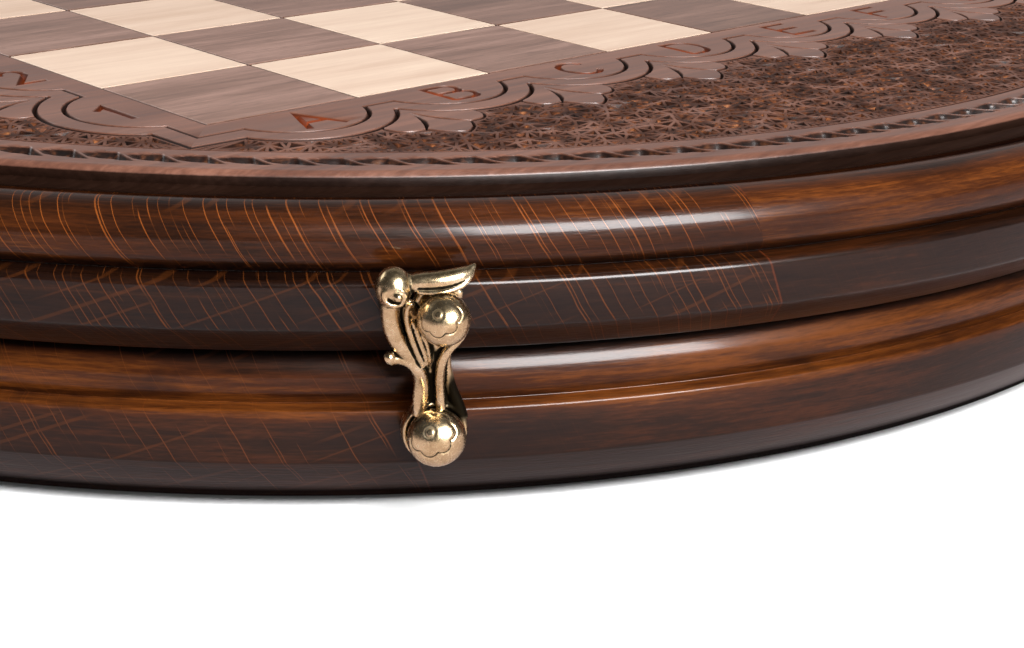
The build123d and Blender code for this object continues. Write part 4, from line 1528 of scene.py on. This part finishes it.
    def hollows(self, mesh: bpy.types.Mesh) -> None:
        """Store how hollow the surface is at each point, for the dark patina."""
        count = len(mesh.vertices)
        co, normal = np.empty(count * 3), np.empty(count * 3)
        mesh.vertices.foreach_get("co", co)
        mesh.vertices.foreach_get("normal", normal)
        co, normal = co.reshape(-1, 3), normal.reshape(-1, 3)
        ends = np.empty(len(mesh.edges) * 2, np.int32)
        mesh.edges.foreach_get("vertices", ends)
        a, b = ends.reshape(-1, 2).T
        run = co[b] - co[a]
        bend = ((normal[a] - normal[b]) * run).sum(1) / np.maximum((run ** 2).sum(1), 1e-12)
        total, share = np.zeros(count), np.zeros(count)
        for end in (a, b):
            np.add.at(total, end, bend)
            np.add.at(share, end, 1)
        value = total / np.maximum(share, 1)
        for _ in range(3):
            total = value.copy()
            np.add.at(total, a, value[b])
            np.add.at(total, b, value[a])
            value = total / (share + 1)
        value = np.clip(value / 700.0, 0, 1)
        # old patina left on the flank that is never handled
        right, up = co[:, 0] / MM, co[:, 1] / MM
        flank = np.clip((right - 1.7) / 1.2, 0, 1) * np.clip((17 - up) / 6, 0, 1)
        flank *= np.clip(up / 4, 0, 1)
        store(mesh, "hollow", np.maximum(value, 0.62 * flank))

    def build(self) -> None:
        """Make one casting and copy it to its four places."""
        casting = self.casting()
        mesh = casting.data
        co = np.empty(len(mesh.vertices) * 3)
        mesh.vertices.foreach_get("co", co)
        co = self.cleared(co.reshape(-1, 3) / MM)
        mesh.vertices.foreach_set("co", (co * MM).ravel())
        mesh.update()
        self.hollows(mesh)
        mesh.materials.clear()
        mesh.materials.append(self.finishes.brass)
        mesh.shade_smooth()
        for body, angle in LATCHES.items():
            own = mesh.copy()
            own.name = f"{body}_casting"
            world = placed(co, rim_frame(angle, LOWER_RADIUS, PIVOT_HEIGHT))
            own.vertices.foreach_set("co", (world * MM).ravel())
            own.update()
            piece = link(bpy.data.objects.new(own.name, own))
            settle(piece, body, "antique_brass", body)
        bpy.data.objects.remove(casting)


@dataclass
class BallStuds:
    """Ball-headed studs, each with a small lobed cap, tilted upwards."""

    finishes: Finishes
    radius: float = 5.4
    neck: float = 2.2
    lobes: int = 7
    cap_tilt: tuple[float, float, float] = (-0.32, 0.5, 0.8)

    def stud(self, neck_length: float, rosette: float,
             breadth: float) -> tuple[np.ndarray, list, np.ndarray]:
        """Points, faces and patina of one stud, standing on the wood along Z.

        Args:
            neck_length: from the wood to the ball.
            rosette: radius of the plate on the wood.
            breadth: how much broader than long the ball is.
        """
        around, rings = 96, 56
        drop = math.sqrt(self.radius ** 2 - self.neck ** 2)
        centre = neck_length + drop
        outline: Outline = [(0.0, 0.0), (rosette, 0.0), (rosette, 0.5), (rosette - 0.5, 1.1),
                            (self.neck + 0.5, 1.4), (self.neck, 1.9), (self.neck, neck_length)]
        low = math.acos(-drop / self.radius)
        neck_rows = len(outline)
        outline += [(self.radius * math.sin(low * (1 - i / rings)),
                     centre + self.radius * math.cos(low * (1 - i / rings)))
                    for i in range(1, rings + 1)]
        points, patina = [], []
        for row, (r, z) in enumerate(outline):
            swell = 1 + (breadth - 1) * min(1.0, max(0, row - neck_rows) / 12)
            for j in range(around):
                turn = 2 * math.pi * j / around
                x, y = r * math.cos(turn), r * math.sin(turn)
                on_ball = row >= neck_rows
                cut_in, dark = self.cap(Vector((x, y, z - centre))) if on_ball else (0.0, 0.0)
                scale = 1 - cut_in / self.radius
                points.append((x * scale * swell, y * scale * swell,
                               centre + (z - centre) * scale if on_ball else z))
                patina.append(max(dark, 0.9 if row == neck_rows - 1 else 0.0))
        return np.array(points), wall(len(outline), around), np.array(patina)

    def cap(self, point: Vector) -> tuple[float, float]:
        """Relief of the lobed cap on the ball: millimetres cut in, and patina from 0 to 1."""
        axis = Vector(self.cap_tilt).normalized()
        off = point.angle(axis) if point.length > 1e-6 else 0.0
        flat = (point - axis * point.dot(axis))
        side = axis.cross(Vector((0.0, 0.0, 1.0))).normalized()
        turn = math.atan2(flat.dot(axis.cross(side)), flat.dot(side)) if flat.length > 1e-6 else 0.0
        edge = math.radians(44) + math.radians(9) * abs(math.sin(turn * self.lobes / 2))
        line = max(0.0, 1 - abs(off - edge) / 0.085)
        raised = 0.12 if off < edge else 0.0
        eye = max(0.0, 1 - abs(off - 0.17) / 0.07)
        return line * 0.3 + eye * 0.15 + (0.12 - raised), max(line ** 2 * 0.8, eye * 0.45)

    def build(self) -> None:
        """Make the studs of the case and of both drawers."""
        sets = [("case", UPPER_RADIUS, CATCH_HEIGHT, 3.6, 3.4, 1.0, "latch", "catch_studs")]
        sets += [(f"{end}_drawer", LOWER_RADIUS, PIVOT_HEIGHT, 4.6, 4.4, 1.15, f"latch_{end}",
                  f"{end}_drawer_pivot_studs") for end in ("front", "rear")]
        for body, radius, height, neck, rosette, breadth, latches, node in sets:
            p, f, patina = self.stud(neck, rosette, breadth)
            angles = [angle for name, angle in LATCHES.items() if name.startswith(latches)]
            points = np.vstack([placed(p, rim_frame(a, radius, height)) for a in angles])
            faces = [tuple(i + n * len(p) for i in face) for n in range(len(angles)) for face in f]
            studs = mesh_object(f"{body}_ball_studs", points, faces, self.finishes.brass, 0.003, 40,
                                hollow=np.tile(patina, len(angles)))
            settle(studs, body, "antique_brass", node)


# ------------------------------------------------------------------ underside and inside

@dataclass
class Underside:
    """Feet and the screws that hold the base panel."""

    finishes: Finishes
    rings: NodeGroup
    feet_radius: float = 236.0      # of the circle that the feet stand on, mm

    def build(self) -> None:
        """Make the feet and two circles of screws."""
        foot, faces = lathe([(0.01, 0.0), (9.6, 0.0), (10.6, 0.35), (11.0, 1.1), (11.0, 3.0),
                             (10.6, 3.6), (0.01, 3.6)], 40)
        foot += np.array([self.feet_radius, 0, 0])
        template = mesh_object("foot_template", foot, faces, None, 0.03, 35)
        feet = self.rings.run("round_feet", {"Count": 6, "Start": math.radians(30),
                                             "Template": template, "Material": self.finishes.pad})
        bpy.data.objects.remove(template)
        settle(feet, "case", "pad", "feet")
        for name, count, radius, start in (("base_screws_outer", 12, 250.0, 15.0),
                                           ("base_screws_inner", 6, 90.0, 0.0)):
            template = self.screw(radius)
            screws = self.rings.run(name, {"Count": count, "Start": math.radians(start),
                                           "Template": template, "Material": self.finishes.brass})
            bpy.data.objects.remove(template)
            settle(screws, "case", "antique_brass")

    def screw(self, radius: float) -> bpy.types.Object:
        """Head of a cross-slot screw, let into the base panel from below."""
        sides = 24
        points = [(0.0, 0.0, 3.75)]
        for r, z in ((1.6, 3.15), (3.2, 3.25), (3.6, 3.5), (3.6, 3.75)):
            for j in range(sides):
                a = 2 * math.pi * j / sides
                slot = min(abs(math.sin(a)), abs(math.cos(a))) < 0.3
                sunk = 0.45 if slot and r < 2 else 0.0
                points.append((r * math.cos(a), r * math.sin(a), z + sunk))
        faces = [(0, 1 + j, 1 + (j + 1) % sides) for j in range(sides)] + wall(4, sides, 1)
        return mesh_object("screw_template", np.array(points) + np.array([radius, 0, 0]), faces,
                           None)


@dataclass
class Insides:
    """CAD nodes that are shown as they are, with their finishes."""

    finishes: Finishes

    def build(self) -> None:
        """Give every carried-over node its material."""
        f = self.finishes
        plain = {"base_panel": f.plywood, "core_panel": f.plywood}
        for node in ("spine", "guide_left", "guide_right", "guide_battens", "stop_pegs"):
            plain[node] = f.wood
        for drawer in ("front_drawer", "rear_drawer"):
            plain[f"{drawer}_floor"] = f.plywood
            plain[f"{drawer}_felt"] = f.felt
            for part in ("side_left", "side_right", "back", "centre_divider", "cross_dividers"):
                plain[f"{drawer}_{part}"] = f.wood
        for node, material in plain.items():
            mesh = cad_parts[node].data
            mesh.materials.clear()
            mesh.materials.append(material)
        LOG.info("%d carried-over nodes dressed", len(plain))


# ------------------------------------------------------------------ studio

class LightPart(Enum):
    """Which part of its light a lamp gives."""

    BOTH = "both"
    MIRRORED = "mirrored"       # only what the lacquer and the brass mirror
    DIFFUSE = "diffuse"         # only what lights the surfaces


@dataclass(frozen=True)
class SoftBox:
    """A soft box that looks at the middle of the box.

    Attributes:
        name: of the lamp.
        azimuth: in degrees.
        elevation: in degrees.
        distance: from the middle of the box, in metres.
        size: width and height, in metres.
        power: in watts.
        part: which part of its light the lamp gives.
    """

    name: str
    azimuth: float
    elevation: float
    distance: float
    size: Point
    power: float
    part: LightPart = LightPart.BOTH

    def build(self) -> None:
        """Put the lamp in the scene."""
        light = bpy.data.lights.new(self.name, "AREA")
        light.shape = "RECTANGLE"
        light.size, light.size_y = self.size
        light.energy = self.power
        a, e = math.radians(self.azimuth), math.radians(self.elevation)
        place = Vector((math.cos(a) * math.cos(e), math.sin(a) * math.cos(e), math.sin(e)))
        place *= self.distance
        lamp = link(bpy.data.objects.new(self.name, light))
        lamp.visible_diffuse = self.part is not LightPart.MIRRORED
        lamp.visible_glossy = self.part is not LightPart.DIFFUSE
        lamp.location = place
        lamp.rotation_euler = (-place).to_track_quat("-Z", "Y").to_euler()


@dataclass
class Studio:
    """Floor, daylight-white surroundings, soft boxes and the camera."""

    lens: float = 65.23
    eye: tuple[float, float, float] = (-0.40212, -0.50518, 0.17948)
    forward: tuple[float, float, float] = (0.65566, 0.66894, -0.35020)
    right: tuple[float, float, float] = (0.72164, -0.69162, 0.02997)
    ambient: float = 0.06       # strength of the surroundings as a light
    room: float = 0.06          # what shiny parts mirror on the camera's side
    backdrop: float = 0.34      # what they mirror behind the box
    floor_reach: float = 6000.0     # half the width of the floor, mm
    lamps: tuple[SoftBox, ...] = (
        SoftBox("front_card", -101, 24, 1.7, (0.8, 0.66), 62, LightPart.MIRRORED),
        SoftBox("front_fill", -115, 36, 2.0, (1.0, 0.8), 76, LightPart.DIFFUSE),
        SoftBox("top_soft_box", -70, 80, 1.8, (0.7, 0.7), 24, LightPart.DIFFUSE),
        SoftBox("back_soft_box", 120, 30, 2.2, (1.2, 1.0), 11))

    def floor(self) -> None:
        """A plain white floor that keeps the object's shadow."""
        p = Paint("studio_floor", Specular_IOR_Level=0.1)
        here = p.place()
        rays = p.node("ShaderNodeLightPath", {}).outputs
        tint = p.mix(p.noise(here, 3.0, 2.0), colour("f4f4f4"), colour("f8f8f8"))
        mirrored = p.mix(rays["Is Glossy Ray"], colour("3e3c3b"), colour("b1a3a2"))
        p.finish(p.mix(rays["Is Camera Ray"], mirrored, tint), 0.9)
        # far from the box, beyond its shadow, the floor is as white as the backdrop
        x, y, _ = p.parts(here)
        glow = p.linear(p.step(p.far(x, y), 0.6, 1.7), 0.96, 0.03)
        p.shade("Emission Color", (1.0, 1.0, 1.0, 1.0))
        p.shade("Emission Strength", p.times(rays["Is Camera Ray"], glow))
        size = self.floor_reach
        floor = mesh_object("floor", np.array([(-size, -size, 0), (size, -size, 0), (size, size, 0),
                                               (-size, size, 0)]), [(0, 1, 2, 3)], p.material)

    def world(self) -> None:
        """White backdrop behind the box, a dim room on the camera's side.

        The backdrop is full white where the camera sees it. Shiny wood mirrors it more
        strongly behind the box than in front.
        """
        world = bpy.data.worlds.new("surroundings")
        world.use_nodes = True
        tree = world.node_tree
        tree.nodes.clear()

        def node(kind: str, *inputs: object, **settings: object) -> bpy.types.NodeSocket:
            """Add a node with its first inputs and return its first output."""
            made = tree.nodes.new(kind)
            for key, value in settings.items():
                setattr(made, key, value)
            for socket, value in zip(made.inputs, inputs):
                if isinstance(value, bpy.types.NodeSocket):
                    tree.links.new(value, socket)
                else:
                    socket.default_value = value
            return made.outputs[0]

        rays = tree.nodes.new("ShaderNodeLightPath").outputs
        direction = tree.nodes.new("ShaderNodeTexCoord").outputs["Generated"]
        behind = node("ShaderNodeVectorMath", direction, operation="DOT_PRODUCT")
        behind.node.inputs[1].default_value = (0.69, 0.72, 0.0)
        behind = behind.node.outputs["Value"]
        wall = node("ShaderNodeMapRange", behind, 0.1, 0.75, self.room, self.backdrop,
                    interpolation_type="SMOOTHSTEP")
        glossy = node("ShaderNodeMath", rays["Is Glossy Ray"], wall, operation="MULTIPLY")
        seen = node("ShaderNodeMath", rays["Is Camera Ray"], rays["Is Transmission Ray"],
                    operation="MAXIMUM")
        strength = node("ShaderNodeMath", seen, glossy, operation="MAXIMUM")
        strength = node("ShaderNodeMath", strength, self.ambient, operation="MAXIMUM")
        back = tree.nodes.new("ShaderNodeBackground")
        tree.links.new(strength, back.inputs["Strength"])
        back.inputs["Color"].default_value = (1.0, 1.0, 1.0, 1.0)
        output = tree.nodes.new("ShaderNodeOutputWorld")
        tree.links.new(back.outputs[0], output.inputs[0])
        bpy.context.scene.world = world

    def camera(self) -> None:
        """The camera of the photograph."""
        camera = bpy.data.cameras.new("camera")
        camera.lens, camera.sensor_width = self.lens, 36.0
        camera.clip_start = 0.01
        eye = link(bpy.data.objects.new("camera", camera))
        ahead = Vector(self.forward).normalized()
        right = Vector(self.right)
        right = (right - ahead * right.dot(ahead)).normalized()
        up = right.cross(ahead)
        eye.matrix_world = Matrix(((right.x, up.x, -ahead.x, self.eye[0]),
                                   (right.y, up.y, -ahead.y, self.eye[1]),
                                   (right.z, up.z, -ahead.z, self.eye[2]),
                                   (0, 0, 0, 1)))
        bpy.context.scene.camera = eye

    def build(self) -> None:
        """Set up the studio."""
        self.floor()
        self.world()
        for lamp in self.lamps:
            lamp.build()
        self.camera()
        bpy.context.scene.view_settings.view_transform = "Standard"


def main() -> None:
    """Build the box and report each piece."""
    logging.basicConfig(level=logging.INFO, format="%(message)s")
    finishes = Finishes()
    rings, tiles = ring_group(), tile_group()
    Mouldings(finishes).build()
    BoardTop(finishes, rings, tiles).build()
    CastLatch(finishes).build()
    BallStuds(finishes).build()
    Underside(finishes, rings).build()
    Insides(finishes).build()
    Studio().build()


if __name__ == "__main__":
    main()
